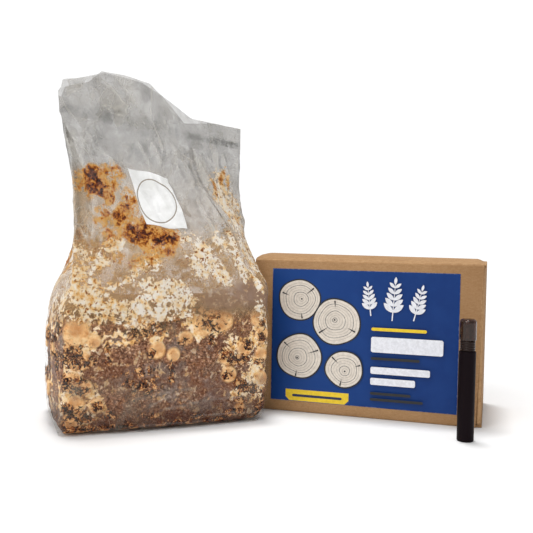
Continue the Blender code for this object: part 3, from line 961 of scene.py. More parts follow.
@dataclass(frozen=True)
class PrintInk(Finish):
    """Solid printing ink with a faint mottle."""

    tone: InkTone

    @property
    def name(self) -> str:
        """The ink's name."""
        return self.tone.name.lower().replace("_", " ") + " ink"

    def wire(self, board: Board) -> dict[str, Any]:
        """The ink's colour, a little uneven, on satin paper.

        Args:
            board: The material's board.

        Returns:
            Values or wires by the shader's input names.
        """
        mottle = board.place().noise(0.0035, 4.0, 0.7)
        deep = tuple(0.93 * part for part in self.tone.value)
        return {"Base Color": board.mix(mottle.remap(0.35, 0.65), self.tone.value, deep),
                "Roughness": mottle.remap(0.3, 0.7, 0.38, 0.50)}


@dataclass(frozen=True)
class MouldedPlastic(Finish):
    """Moulded plastic: solid charcoal with a satin grain, or smoky and see-through."""

    name: str = "charcoal plastic"
    colour: Colour = srgb(18, 9, 13)
    roughness: float = 0.46
    clear: float = 0.0
    shine: float = 0.07

    def wire(self, board: Board) -> dict[str, Any]:
        """A fine satin grain, slow scuffs, and plain transmission where it is see-through.

        Args:
            board: The material's board.

        Returns:
            Values or wires by the shader's input names.
        """
        place = board.place()
        scuff = place.turned(0.0, (3.0, 3.0, 1.0)).noise(0.012, 5.0, 0.7)
        paler = tuple(min(1.0, 1.9 * part) for part in self.colour[:3]) + (1.0,)
        colour = board.mix(scuff.remap(0.50, 0.75, 0.0, 0.30), self.colour, paler)
        rough = scuff.remap(0.3, 0.7, self.roughness - 0.05, self.roughness + 0.09)
        return {"Base Color": colour, "Roughness": rough, "IOR": 1.47,
                "Specular IOR Level": self.shine, "Transmission Weight": self.clear,
                "Normal": place.noise(0.0006, 3.0, 0.7).bump(0.08, 0.0002)}


@dataclass(frozen=True)
class StudioSweep(Finish):
    """The plain pale floor."""

    name: str = "studio floor"

    def wire(self, board: Board) -> dict[str, Any]:
        """Matt, nearly white."""
        return {"Base Color": (0.86, 0.86, 0.86, 1.0), "Roughness": 0.9,
                "Specular IOR Level": 0.1}
# ---------------------------------------------------------------- the bag and its block

# Corners and middles of the bag's sides as shares of the way round, from the front left crease.
CORNERS = (0.0, 0.31, 0.50, 0.81, 1.0)
FRONT_END, RIGHT_END, BACK_END = CORNERS[1:4]

# The film's sections, as part.py has them: height at the left and at the right, how far corners
# are rounded, and eight (along, back) points from the front left, a corner and a middle in turn.
SECTIONS = (
    (0.000, 0.000, 0.013, ((-0.003, -0.003), (0.100, -0.0065), (0.187, 0.000), (0.190, 0.060),
                           (0.188, 0.112), (0.100, 0.118), (0.003, 0.114), (-0.003, 0.060))),
    (0.012, 0.012, 0.018, ((-0.003, -0.003), (0.100, -0.008), (0.1965, 0.000), (0.1965, 0.060),
                           (0.196, 0.119), (0.100, 0.125), (-0.002, 0.121), (-0.008, 0.060))),
    (0.060, 0.060, 0.018, ((-0.002, -0.002), (0.100, -0.006), (0.1985, 0.000), (0.1970, 0.060),
                           (0.197, 0.121), (0.100, 0.126), (-0.003, 0.122), (-0.009, 0.060))),
    (0.100, 0.100, 0.017, ((-0.001, -0.001), (0.100, -0.005), (0.198, 0.000), (0.1975, 0.048),
                           (0.197, 0.118), (0.100, 0.124), (0.000, 0.120), (-0.008, 0.060))),
    (0.128, 0.128, 0.010, ((0.0075, 0.003), (0.095, 0.000), (0.185, 0.005), (0.2000, 0.024),
                           (0.1935, 0.108), (0.100, 0.119), (0.006, 0.112), (0.000, 0.060))),
    (0.154, 0.154, 0.008, ((0.009, 0.006), (0.092, 0.006), (0.173, 0.012), (0.1925, 0.036),
                           (0.197, 0.092), (0.100, 0.103), (0.014, 0.098), (0.020, 0.056))),
    (0.187, 0.187, 0.007, ((0.010, 0.012), (0.086, 0.018), (0.160, 0.021), (0.180, 0.047),
                           (0.194, 0.072), (0.100, 0.080), (0.019, 0.070), (0.032, 0.040))),
    (0.228, 0.226, 0.006, ((0.009, 0.016), (0.071, 0.027), (0.136, 0.033), (0.161, 0.050),
                           (0.186, 0.065), (0.100, 0.060), (0.014, 0.046), (0.025, 0.030))),
    (0.260, 0.252, 0.005, ((0.0035, 0.017), (0.062, 0.0305), (0.127, 0.0405), (0.156, 0.053),
                           (0.186, 0.064), (0.096, 0.047), (0.008, 0.029), (0.012, 0.0235))),
    (0.288, 0.270, 0.004, ((-0.001, 0.0172), (0.060, 0.0315), (0.122, 0.0460), (0.154, 0.0550),
                           (0.186, 0.0632), (0.096, 0.0420), (0.001, 0.0200), (-0.002, 0.0184))),
)
# The film's cut edge: (share of the way round, height).
EDGE = ((0.000, 0.301), (0.008, 0.310), (0.060, 0.317), (0.093, 0.3290), (0.146, 0.3280),
        (0.210, 0.3240), (0.250, 0.3115), (0.302, 0.290), (0.405, 0.294), (0.500, 0.292),
        (0.600, 0.2965), (0.655, 0.3155), (0.690, 0.3250), (0.750, 0.3290), (0.790, 0.3200),
        (0.860, 0.310))

# Knots of mycelium under the front film: (along, height, radius), as part.py has them.
FRONT_KNOTS = (
    (0.0125, 0.0915, 0.0127), (0.0280, 0.0840, 0.0064), (0.0150, 0.0677, 0.0109),
    (0.0105, 0.0477, 0.0098), (0.0210, 0.0430, 0.0070), (0.0136, 0.0293, 0.0082),
    (0.0303, 0.0264, 0.0073), (0.0110, 0.0120, 0.0080), (0.0834, 0.0739, 0.0082),
    (0.0985, 0.0695, 0.0068), (0.1098, 0.0841, 0.0073), (0.1280, 0.0960, 0.0109),
    (0.1467, 0.1000, 0.0118), (0.1514, 0.0644, 0.0082), (0.1537, 0.0479, 0.0082),
    (0.1696, 0.0723, 0.0082), (0.1834, 0.1000, 0.0072), (0.1879, 0.0850, 0.0075),
    (0.1884, 0.0647, 0.0073), (0.1895, 0.0420, 0.0070), (0.1665, 0.0140, 0.0066),
    (0.0620, 0.0150, 0.0070), (0.1180, 0.0160, 0.0068),
)
OTHER_KNOTS = 15
KNOT_SEED = 11

# Growth smeared on the front film, and the gaps in it: rows of a Blob's six numbers.
FILM_GROWTH = (
    (24, 127, 17, 12, 0, 1.0), (11, 133, 9, 20, 0, 0.95), (26, 154, 19, 9, 10, 0.72),
    (15, 163, 11, 9, 0, 0.60), (44, 169, 11, 7, 20, 0.66), (58, 142, 21, 5, 35, 0.85),
    (80, 154, 16, 7, 12, 0.72), (81, 127, 18, 12, 10, 0.98), (98, 130, 16, 12, -20, 0.90),
    (123, 149, 14, 8, -50, 0.92), (137, 154, 22, 8, -55, 0.98), (149, 141, 14, 6, -50, 0.85),
    (131, 167, 15, 6, -45, 0.85), (115, 175, 12, 7, -20, 0.60), (168, 158, 6, 22, 14, 0.95),
    (162, 178, 7, 9, 0, 0.70), (152, 172, 7, 11, 30, 0.70), (115, 125, 13, 7, -20, 0.72),
    (106, 119, 17, 6, 0, 0.80), (59, 116, 24, 7, 0, 0.90), (30, 114, 22, 7, 0, 0.85),
    (14, 108, 12, 8, 0, 0.70), (78, 108, 30, 8, 0, 0.85), (44, 106, 20, 7, 0, 0.75),
    (104, 109, 18, 7, -8, 0.80), (62, 98, 16, 5, 0, 0.50), (186, 112, 6, 12, 0, 0.60),
)
FILM_GAPS = (
    (50, 145, 15, 8, 10, 1.0), (60, 126, 13, 5, 10, 0.9), (103, 150, 14, 11, -20, 1.0),
    (123, 128, 9, 5, -10, 0.8), (147, 124, 15, 9, 0, 1.0), (68, 165, 9, 5, 30, 0.8),
    (26, 178, 13, 9, 0, 0.6), (139, 139, 7, 4, -45, 0.6),
)
FILM_STAINS = (
    (31, 230, 16, 10, -35, 0.88), (27, 224, 9, 8, -30, 0.98), (37, 220, 6, 10, 20, 0.98),
    (42, 214, 6, 8, 0, 0.88), (22, 226, 14, 16, 0, 0.40), (43, 231, 14, 16, -30, 0.42),
    (54, 200, 8, 11, -20, 0.85), (56, 190, 10, 11, -10, 0.75), (64, 181, 14, 8, -40, 1.02),
    (71, 174, 10, 6, -20, 1.00), (80, 183, 19, 14, -20, 0.82), (94, 178, 14, 10, 20, 0.98),
    (89, 166, 21, 10, 20, 0.48), (46, 182, 11, 14, 0, 0.40),
    (36, 196, 10, 14, 0, 0.36), (49, 159, 9, 6, 0, 0.30), (79, 158, 25, 8, 15, 0.36),
    (62, 210, 9, 16, 20, 0.36),
)
# The same on the right gusset and the back, where the photograph shows them.
SIDE_GROWTH = ((258, 206, 40, 34, 0, 1.12), (264, 234, 24, 10, 30, 1.0),
               (245, 219, 13, 16, 0, 0.85), (270, 200, 18, 16, 0, 0.95),
               (262, 178, 20, 16, 0, 0.90), (236, 196, 12, 18, 0, 0.72),
               (230, 160, 16, 16, 0, 0.85))
SIDE_STAINS = ((268, 240, 14, 5, 30, 0.46), (236, 230, 6, 8, 0, 0.36), (282, 236, 6, 6, 0, 0.40),
               (262, 196, 8, 6, 0, 0.30))

# Painted shade: dim places painted where the film hangs over the gap beside the block's top.
PAINTED_GAP_SHADE = (
    (176, 124, 24, 16, 0, 1.0), (205, 122, 20, 17, 0, 1.0), (232, 120, 18, 14, 0, 0.7),
    (148, 120, 26, 13, 0, 0.85), (122, 122, 20, 9, 0, 0.45), (62, 122, 20, 6, 0, 0.40),
    (95, 138, 100, 28, 0, 0.40),
)

# Where dark crumbs cluster on the block's front, and its cream ground.
CRUMB_CLUSTERS = (
    (6, 77, 11, 6, 0, 1.0), (11, 67, 10, 8, 0, 1.0), (22, 66, 7, 5, 0, 0.9),
    (39, 76, 3, 4, 0, 0.8), (40, 66, 3, 4, 0, 1.0), (6, 48, 11, 8, 0, 1.0),
    (15, 41, 7, 5, 0, 0.8), (30, 26, 5, 5, -30, 0.9), (3, 24, 6, 6, 0, 0.9),
    (10, 19, 12, 6, 0, 1.0), (20, 15, 7, 4, 0, 0.8), (41, 17, 5, 4, 0, 0.7),
    (62, 90, 8, 4, 15, 0.9), (76, 90, 11, 4, 0, 0.8), (90, 98, 8, 4, 0, 0.5),
    (54, 6, 10, 4, 0, 0.5), (3, 6, 9, 4, 0, 0.8), (19, 5, 12, 4, 0, 0.7),
    (41, 5, 13, 4, 0, 0.6), (75, 14, 8, 3, 0, 0.5), (126, 110, 9, 4, 0, 1.0),
    (137, 106, 9, 6, 0, 0.9), (98, 102, 8, 3, 0, 0.6), (83, 94, 8, 5, 0, 0.7),
    (79, 71, 3, 4, 0, 1.0), (109, 81, 5, 4, 0, 0.8), (136, 81, 3, 6, -40, 0.9),
    (152, 66, 8, 6, 0, 1.0), (165, 62, 10, 5, 20, 1.0), (151, 48, 5, 4, 0, 0.9),
    (173, 75, 6, 5, 0, 0.8), (168, 35, 8, 7, -20, 0.9), (180, 31, 6, 6, 0, 0.9),
    (97, 57, 3, 6, 0, 0.8), (97, 47, 3, 6, 0, 0.6), (190, 98, 5, 5, 0, 0.9),
    (188, 82, 5, 7, 0, 1.0), (185, 58, 6, 3, 30, 0.7), (191, 17, 4, 7, 0, 0.8),
    (186, 9, 5, 5, 0, 0.8), (161, 12, 10, 4, 0, 0.8), (145, 5, 8, 3, 0, 0.6),
    (121, 11, 6, 4, 0, 0.7), (103, 5, 7, 3, 0, 0.5), (168, 22, 6, 4, 0, 0.7),
    (70, 44, 17, 16, 0, 0.45),
)
CREAM_GROUND = (
    (4, 54, 12, 50, 0, 0.74), (15, 90, 14, 17, 0, 0.95), (48, 86, 17, 7, 0, 0.55),
    (72, 103, 22, 9, 0, 0.80), (86, 87, 13, 7, 0, 0.55), (129, 98, 24, 14, 0, 0.75),
    (184, 68, 12, 46, 0, 0.70), (158, 66, 12, 18, 0, 0.55), (172, 32, 14, 14, 0, 0.45),
    (166, 12, 14, 5, 0, 0.38), (12, 16, 18, 11, 0, 0.55), (24, 30, 13, 11, 0, 0.50),
)

# Creases of the front film as lines of (along, height) points in millimetres, with a strength.
FRONT_CREASES = (
    (((-1, 300), (4, 292), (15, 280)), 1.0), (((15, 283), (32, 282), (49, 276)), 0.5),
    (((31, 259), (45, 250), (58, 230), (70, 210)), 0.7), (((36, 319), (58, 308)), 0.6),
    (((40, 317), (53, 310)), 0.5), (((35, 300), (45, 294), (58, 290)), 0.9),
    (((2, 308), (30, 305), (35, 302)), 0.5), (((85, 322), (84, 295), (91, 278), (96, 261)), 1.0),
    (((91, 278), (83, 285)), 0.8), (((91, 278), (79, 269)), 0.6), (((75, 323), (73, 302)), 0.4),
    (((32, 201), (51, 165)), 0.4), (((108, 299), (124, 267), (135, 228)), 0.8),
    (((99, 290), (112, 262), (126, 225)), 0.5), (((16, 282), (39, 247), (58, 214)), 0.6),
    (((20, 280), (18, 232)), 0.4), (((86, 19), (124, 25), (166, 26)), 0.8),
    (((115, 12), (155, 11), (185, 10)), 0.7), (((33, 4), (78, 6), (125, 5)), 0.6),
    (((77, 24), (96, 31), (115, 26)), 0.8), (((130, 215), (150, 175), (165, 140)), 0.6),
    (((12, 60), (40, 48), (60, 52)), 0.3), (((60, 30), (100, 36), (150, 40)), 0.4),
)

# The breather patch's corners as (share, height), and points of its ring in millimetres.
PATCH_CORNERS = ((0.1404, 0.2423), (0.2296, 0.2345), (0.2168, 0.1851), (0.1368, 0.1884))
RING_MARKS = ((70, 223), (77, 233), (91, 228), (103, 219), (107, 207), (97, 192), (83, 193),
              (72, 208))


@dataclass(frozen=True)
class BagForm:
    """The bag's inner face as a function of the share of the way round and of the rise.

    The rise is the height at the left up to the seal, and goes on by the tail above it.
    """

    width: float = 0.199
    seal_rise: float = 0.288
    tail: float = 0.040
    seal_gap: float = 0.0005
    mouth_flare: float = 0.0045
    film_lift: float = 0.0003
    flat_sides_from: int = 5
    rounding_steps: int = 9

    @property
    def top(self) -> float:
        """The rise of the cut edge."""
        return self.seal_rise + self.tail

    def around(self, share: Array, lines: Array, folded: bool) -> Array:
        """Places on the bag's outline, whose sides are parabolas through corners and middle.

        Where the bag is folded, a gusset is two straight lines that meet at its middle.

        Args:
            share: Shares of the way round.
            lines: The (along, back) of each of the eight lines.
            folded: Whether the gussets are creased.

        Returns:
            An (along, back) for each share.
        """
        share, corners = share % 1.0, np.array(CORNERS)
        side = np.clip(np.searchsorted(corners, share, "right") - 1, 0, 3)
        part = ((share - corners[side]) / (corners[side + 1] - corners[side]))[..., None]
        first, middle, last = lines[2 * side], lines[2 * side + 1], lines[(2 * side + 2) % 8]
        curve = (first * (1 - part) * (1 - 2 * part) + middle * 4 * part * (1 - part)
                 + last * part * (2 * part - 1))
        bent = np.where(part < 0.5, first + (middle - first) * 2 * part,
                        middle + (last - middle) * (2 * part - 1))
        return np.where(folded & (side[..., None] % 2 == 1), bent, curve)

    def section(self, share: Array, number: int) -> Array:
        """Points of one section, its corners rounded by averaging over a short way.

        Args:
            share: Shares of the way round.
            number: Which section.

        Returns:
            Points with a last axis of along, back and height.
        """
        left, right, rounding, lines = SECTIONS[number]
        steps = np.linspace(-1.0, 1.0, self.rounding_steps)
        weights = 1.1 - steps**2
        flat = sum(weight * self.around(share + rounding * step, np.array(lines),
                                        number >= self.flat_sides_from)
                   for step, weight in zip(steps, weights / weights.sum()))
        along = flat[..., 0]
        return xyz(along, flat[..., 1], left + (right - left) * np.clip(along / self.width, 0, 1))

    def inner(self, share: Array, rise: Array) -> Array:
        """The film's inner face: a cubic curve through the sections at each share.

        Above the seal the film goes straight up to its cut edge, and its two layers part,
        square to the line of the seal.

        Args:
            share: Shares of the way round.
            rise: Rises, of the same shape.

        Returns:
            Points in the bag's own coordinates.
        """
        knots = np.array([section[0] for section in SECTIONS])
        rings = np.stack([self.section(share, number) for number in range(len(SECTIONS))])
        spans = knots.reshape(-1, *([1] * (rings.ndim - 1)))
        slopes = np.concatenate([(rings[1:2] - rings[:1]) / (spans[1:2] - spans[:1]),
                                 (rings[2:] - rings[:-2]) / (spans[2:] - spans[:-2]),
                                 (rings[-1:] - rings[-2:-1]) / (spans[-1:] - spans[-2:-1])])
        low = np.clip(np.minimum(rise, self.seal_rise), 0.0, None)
        below = np.clip(np.searchsorted(knots, low, "right") - 1, 0, len(knots) - 2)
        span = (knots[below + 1] - knots[below])[..., None]
        part = (low - knots[below])[..., None] / span

        def pick(table: Array, number: Array) -> Array:
            """Takes from each section's table the row that a point needs."""
            index = np.broadcast_to(number[None, ..., None], (1, *share.shape, 3))
            return np.take_along_axis(table, index, 0)[0]

        square, cube = part**2, part**3
        points = ((2 * cube - 3 * square + 1) * pick(rings, below)
                  + (cube - 2 * square + part) * pick(slopes, below) * span
                  + (3 * square - 2 * cube) * pick(rings, below + 1)
                  + (cube - square) * pick(slopes, below + 1) * span)
        share = share % 1.0
        above = np.clip((rise - self.seal_rise) / self.tail, 0.0, 1.0)
        edge = np.interp(share, *zip(*EDGE), period=1.0)
        points[..., 2] += above * (edge - points[..., 2]) + self.film_lift
        closing = ease(self.seal_rise - 0.028, self.seal_rise, rise)
        left_end = ease(0.10, 0.02, share) + ease(0.84, 0.95, share)
        half = 0.5 * self.seal_gap * closing + above * self.mouth_flare * (0.2 + left_end)
        lines = np.array(SECTIONS[-1][3])
        seal = lines[4] - lines[0]
        seal /= np.linalg.norm(seal)
        ends = np.minimum(np.abs(share - RIGHT_END), np.minimum(share, 1.0 - share))
        half = half * np.where(share < RIGHT_END, -1.0, 1.0) * np.clip(ends / 0.03, 0.0, 1.0)
        points[..., 0] -= seal[1] * half
        points[..., 1] += seal[0] * half
        return points

    def outward(self, share: Array, rise: Array) -> Array:
        """Unit vectors square to the film, pointing out.

        Args:
            share: Shares of the way round.
            rise: Rises, of the same shape.

        Returns:
            One vector for each point.
        """
        step = 0.0025
        ahead = self.inner(share + step, rise) - self.inner(share - step, rise)
        high = np.minimum(rise + step, self.top)
        up = self.inner(share, high) - self.inner(share, np.maximum(high - 2 * step, 0.0))
        out = np.cross(ahead, up)
        return out / np.maximum(np.linalg.norm(out, axis=-1, keepdims=True), 1e-12)

    def unrolled(self, share: Array, points: Array) -> tuple[Array, Array]:
        """Millimetres along the bag, along the front itself and then on by the share.

        Args:
            share: Shares of the way round.
            points: The film's points there.

        Returns:
            Millimetres along the bag, and heights in millimetres.
        """
        share = share % 1.0
        along = np.where(share < FRONT_END, points[..., 0], share * self.width / FRONT_END)
        return along / MM, points[..., 2] / MM


@dataclass
class GrowBag:
    """The film bag, the block in it, its crumbs and its breather patch."""

    stand: Stand
    form: BagForm = BagForm()
    film_columns: tuple[int, ...] = (118, 42, 54, 34)
    film_rows: int = 158
    tail_rows: int = 18
    film_wall: float = 0.0002
    block_columns: tuple[int, ...] = (200, 80, 90, 60)
    block_rows: int = 96
    cap_rows: int = 34
    shoulder: float = 0.098
    block_top: float = 0.1175
    crumb_count: int = 1800
    patch_cells: int = 70
    patch_wall: float = 0.0004

    def __post_init__(self) -> None:
        """Sets up the noise and the knots, and seeds growth, stains and crumbs for the sides
        that the photograph hides."""
        self.noise = LatticeNoise(5)
        self.knots = self.place_knots()
        chance = random.Random(23)
        self.back_growth = [
            Blob(chance.uniform(205, 640), chance.gauss(138, 20), chance.uniform(8, 20),
                 chance.uniform(6, 12), chance.uniform(-60, 60), chance.uniform(0.6, 1.0))
            for _ in range(46)]
        self.back_stains = [
            Blob(chance.uniform(330, 630), chance.gauss(156, 10), chance.uniform(9, 20),
                 chance.uniform(6, 12), chance.uniform(-50, 50), chance.uniform(0.25, 0.62))
            for _ in range(14)]
        self.back_crumbs = [
            Blob(chance.uniform(200, 642), chance.uniform(4, 108), chance.uniform(4, 11),
                 chance.uniform(3, 7), chance.uniform(-40, 40), chance.uniform(0.6, 1.0))
            for _ in range(60)]

    def place_knots(self) -> list[tuple[Array, float]]:
        """The CAD block's knots as (middle, radius), the front's listed and the rest seeded.

        Returns:
            A point inside the film and a radius for each knot.
        """
        knots = [(FRONT_END * along / self.form.width, height, radius)
                 for along, height, radius in FRONT_KNOTS]
        chance = random.Random(KNOT_SEED)
        for index in range(OTHER_KNOTS):
            share = 0.335 + 0.64 * (index + chance.uniform(0.2, 0.8)) / OTHER_KNOTS
            for corner in (RIGHT_END, BACK_END):
                if abs(share - corner) < 0.03:
                    share = corner + math.copysign(0.03, share - corner)
            radius = chance.uniform(0.0075, 0.0115)
            knots.append((share, chance.uniform(0.016, 0.092), radius))
        return [(self.form.inner(np.array([share]), np.array([height]))[0], radius)
                for share, height, radius in knots]

    def knot_field(self, points: Array, inner: float, outer: float) -> Array:
        """How much of a knot there is: 1 within inner radii of its middle, 0 beyond outer.

        Args:
            points: Points of the film or the block.
            inner: Where the knot's edge starts to fall, in radii.
            outer: Where it ends.

        Returns:
            The largest field of all knots at each point.
        """
        return np.maximum.reduce([
            ease(outer, inner, np.linalg.norm(points - middle, axis=-1) / radius)
            for middle, radius in self.knots])

    @staticmethod
    def columns(counts: Sequence[int]) -> Array:
        """Shares of the way round, so many to each of the four sides."""
        return np.concatenate([np.linspace(CORNERS[side], CORNERS[side + 1], count, False)
                               for side, count in enumerate(counts)])

    def crease_field(self, share: Array, along: Array, height: Array, width: float) -> Array:
        """The front's creases: 1 on a crease's line, falling as a bell to either side.

        Args:
            share: Shares of the way round.
            along: Millimetres along the bag.
            height: Heights in millimetres.
            width: Half width of the bell in millimetres.

        Returns:
            The field, zero off the front.
        """
        total = np.zeros(along.shape)
        for line, strength in FRONT_CREASES:
            for (x0, z0), (x1, z1) in zip(line, line[1:]):
                x, z = x1 - x0, z1 - z0
                part = np.clip(((along - x0) * x + (height - z0) * z) / (x * x + z * z), 0, 1)
                away = np.hypot(along - x0 - part * x, height - z0 - part * z)
                total = np.maximum(total, strength * bell(away, width))
        return total * (share % 1.0 < FRONT_END)

    def crumple(self, back: Array, along: Array, height: Array) -> Array:
        """Soft folds of the empty film: the highest of three ridged noises.

        Each is drawn out along its own lean, so that flat facets meet in sharp ridges.

        Args:
            back: How far back each point lies, which tells the two layers apart.
            along: Millimetres along the bag.
            height: Heights in millimetres.

        Returns:
            Values from 0 to 1, with sharp ridges at 1.
        """
        total = np.zeros(along.shape)
        for lean, size, stretch, weight in ((-62.0, 0.021, 3.4, 1.0), (-24.0, 0.015, 2.0, 0.72),
                                            (80.0, 0.012, 2.2, 0.55)):
            cos, sin = math.cos(math.radians(lean)), math.sin(math.radians(lean))
            spot = xyz((along * cos + height * sin) * MM / stretch,
                       (height * cos - along * sin) * MM,
                       np.where(back > 0.05, 0.4, 0.01 * lean))
            ridge = 1.0 - np.abs(self.noise.fractal(spot, size, 2, 0.4)) * 2.4
            total = np.maximum(total, weight * np.clip(ridge, 0.0, 1.0))
        return total

    def film_lift(self, share: Array, rise: Array, inner: Array) -> tuple[Array, Array]:
        """How far the film stands off its smooth form, and how sharply it is creased.

        Args:
            share: Shares of the way round.
            rise: Rises, of the same shape.
            inner: The smooth form's points.

        Returns:
            Lifts in metres, and the crumple.
        """
        along, height = self.form.unrolled(share, inner)
        on_block = ease(122.0, 100.0, height)
        free = ease(112.0, 165.0, height)
        unsealed = 1.0 - ease(self.form.seal_rise - 0.022, self.form.seal_rise - 0.004, rise)
        crumple = self.crumple(inner[..., 1], along, height)
        ripple = self.noise.at(xyz(along * MM, rise * 0.35, 0.0), 0.019)
        lift = -0.0010 * (1.0 - self.knot_field(inner, 1.0, 1.55)) * on_block
        crease = self.crease_field(share, along, height, 1.9)
        lift += 0.0010 * crease * (0.3 + 0.7 * unsealed) * (0.5 + 0.5 * free)
        lift += free * unsealed * (0.0032 * (crumple - 0.4) + 0.0012 * ripple)
        wrinkle = self.noise.ridge(xyz(along * MM / 5.0, height * MM, 0.3), 0.006, 2.2)
        return lift + 0.0005 * np.clip(wrinkle, 0, 1) ** 2 * on_block, crumple

    def film_surface(self, share: Array, rise: Array) -> Array:
        """The film as it hangs, presses on the block and crumples.

        Args:
            share: Shares of the way round.
            rise: Rises, of the same shape.

        Returns:
            Points in the bag's own coordinates.
        """
        inner = self.form.inner(share, rise)
        lift, _ = self.film_lift(share, rise, inner)
        points = inner + self.form.outward(share, rise) * lift[..., None]
        # Above and at the seal both layers sway together.
        x, z = points[..., 0], points[..., 2]
        sway = self.noise.at(xyz(x, z * 0.5, 0.0), 0.034)
        fold = self.noise.ridge(xyz(x + 0.4 * z, z * 0.3, 0.2), 0.021, 2.0)
        points[..., 1] += ease(0.200, 0.285, inner[..., 2]) * (0.0026 * sway + 0.0016 * fold)
        return points

    def film_masks(self, share: Array, rise: Array) -> dict[str, Array]:
        """The film's masks over a whole grid.

        Args:
            share: Shares of the way round, a row for each rise.
            rise: Rises.

        Returns:
            Values by mask name.
        """
        seal_rise = self.form.seal_rise
        inner = self.form.inner(share, rise)
        along, height = self.form.unrolled(share, inner)
        lift, crumple = self.film_lift(share, rise, inner)
        # Painted light and shade: facets are painted lighter or darker by how steeply they rise
        # along the bag.
        step, climb = (np.roll(value, -1, axis=1) - np.roll(value, 1, axis=1)
                       for value in (inner, lift))
        slope = climb / np.maximum(np.linalg.norm(step, axis=-1), 1e-5)
        x, z = inner[..., 0], inner[..., 2]
        sway = self.noise.fractal(xyz(x + 0.5 * z, z * 0.4, 0.0), 0.016, 2)
        above = ease(seal_rise - 0.010, seal_rise + 0.004, rise)
        free = ease(150.0, 200.0, height)
        fold = slope * 2.2 * (0.25 + 0.75 * free) + above * 0.55 * sway
        front = (share % 1.0) < FRONT_END
        growth = np.where(front, strongest(FILM_GROWTH, along, height)
                          - 0.75 * strongest(FILM_GAPS, along, height),
                          strongest([*self.back_growth, *SIDE_GROWTH], along, height))
        stain = np.where(front, strongest(FILM_STAINS, along, height),
                         strongest([*self.back_stains, *SIDE_STAINS], along, height))
        warm = np.where(front, 0.10 + 0.90 * ease(80.0, 20.0, along), 0.3)
        band = (ease(seal_rise - 0.002, seal_rise, rise)
                * ease(seal_rise + 0.013, seal_rise + 0.009, rise))
        strength = np.where(front, np.interp(along, (0, 50, 64, 80, 92, 120, 180),
                                             (0.45, 0.40, 0.25, 0.3, 0.2, 0.0, 0.0)),
                            np.interp(share % 1.0, (0.31, 0.36, 0.44, 0.52, 0.60, 1.0),
                                      (0.0, 0.7, 1.25, 1.0, 0.5, 0.45)))
        streaks = self.noise.fractal(xyz(along * MM * 0.25, height * MM, 0.7), 0.009, 3)
        veil = (ease(13.0, 24.0, height) * ease(56.0, 38.0, height) * ease(-0.15, 0.35, streaks)
                + 0.35 * ease(76.0, 90.0, height) * ease(0.0, 0.4, streaks))
        return {
            "growth": (0.92 * np.clip(growth, 0.0, 1.0) * ease(88.0, 102.0, height)
                       + 0.08 * ease(100.0, 118.0, height) * ease(235.0, 185.0, height)),
            "age": np.clip(warm + ease(0.05, 0.4, stain), 0.0, 1.0),
            "stain": 0.60 * stain,
            "free": ease(128.0, 190.0, height),
            # fold: painted highlight and shade from the slope, and above the seal from the sway.
            "fold": np.clip(np.where(fold < 0.0, 0.55, 1.0) * fold, -1.0, 1.0),
            # crease: whitened film along the creases, with a painted glint.
            "crease": np.clip(0.8 * self.crease_field(share, along, height, 0.9)
                              + 0.30 * free * np.clip((crumple - 0.86) / 0.14, 0.0, None),
                              0.0, 1.0),
            "residue": (0.3 + 0.7 * ease(66.0, 100.0, height)) * np.maximum.reduce([
                0.85 * ease(205.0, 165.0, height),
                front * ease(118.0, 62.0, along) * ease(252.0, 212.0, height),
                ease(262.0, 150.0, height) * np.where(front, 0.42, 0.55)]),
            # Painted shade over the gap beside the block's top.
            "dusk": strongest(PAINTED_GAP_SHADE, along, height),
            "haze": (0.05 + 0.39 * ease(94.0, 116.0, height) - 0.03 * ease(150.0, 205.0, height)
                     + 0.02 * ease(245.0, 285.0, height) + 0.18 * veil),
            "seal": band * strength,
        }

    def build_film(self) -> Piece:
        """The film: one sheet round the bag, and under it the lowest ring drawn in to the
        middle, flat on the floor.

        Returns:
            The dressed piece.
        """
        form = self.form
        rise = np.concatenate([np.linspace(0.0, form.seal_rise, self.film_rows, endpoint=False),
                               np.linspace(form.seal_rise, form.top, self.tail_rows)])
        shares, rises = np.meshgrid(self.columns(self.film_columns), rise)
        points = self.film_surface(shares, rises)
        parts = np.array([0.05, 0.25, 0.45, 0.65, 0.82, 0.93])[:, None, None]
        middle = points[0].mean(axis=0)
        base = middle + (points[0] - middle) * parts
        base[..., 2] = points[0, :, 2].min()
        masks = {name: np.concatenate([np.repeat(values[:1], len(base), 0), values])
                 for name, values in self.film_masks(shares, rises).items()}
        return Shell(self.stand).add(np.concatenate([base, points]), poles=(True, False),
                                     masks=masks).build("bag_film", ClearFilm(), self.film_wall)

    def block_relief(self, points: Array) -> Array:
        """How far the block's skin lies within the film: pits, crumb and proud knots.

        Args:
            points: The film's points.

        Returns:
            Depths in metres, all of them negative.
        """
        pits = 0.5 + 0.5 * self.noise.fractal(points, 0.011, 4, 0.55)
        crumb = self.noise.fractal(points + 0.5, 0.0035, 2, 0.6)
        rough = -0.0016 - 0.0030 * pits + 0.0007 * crumb
        proud = -0.0006 - 0.0005 * self.knot_field(points, 0.0, 0.55) + 0.0002 * crumb
        return rough + (proud - rough) * self.knot_field(points, 0.80, 1.12)

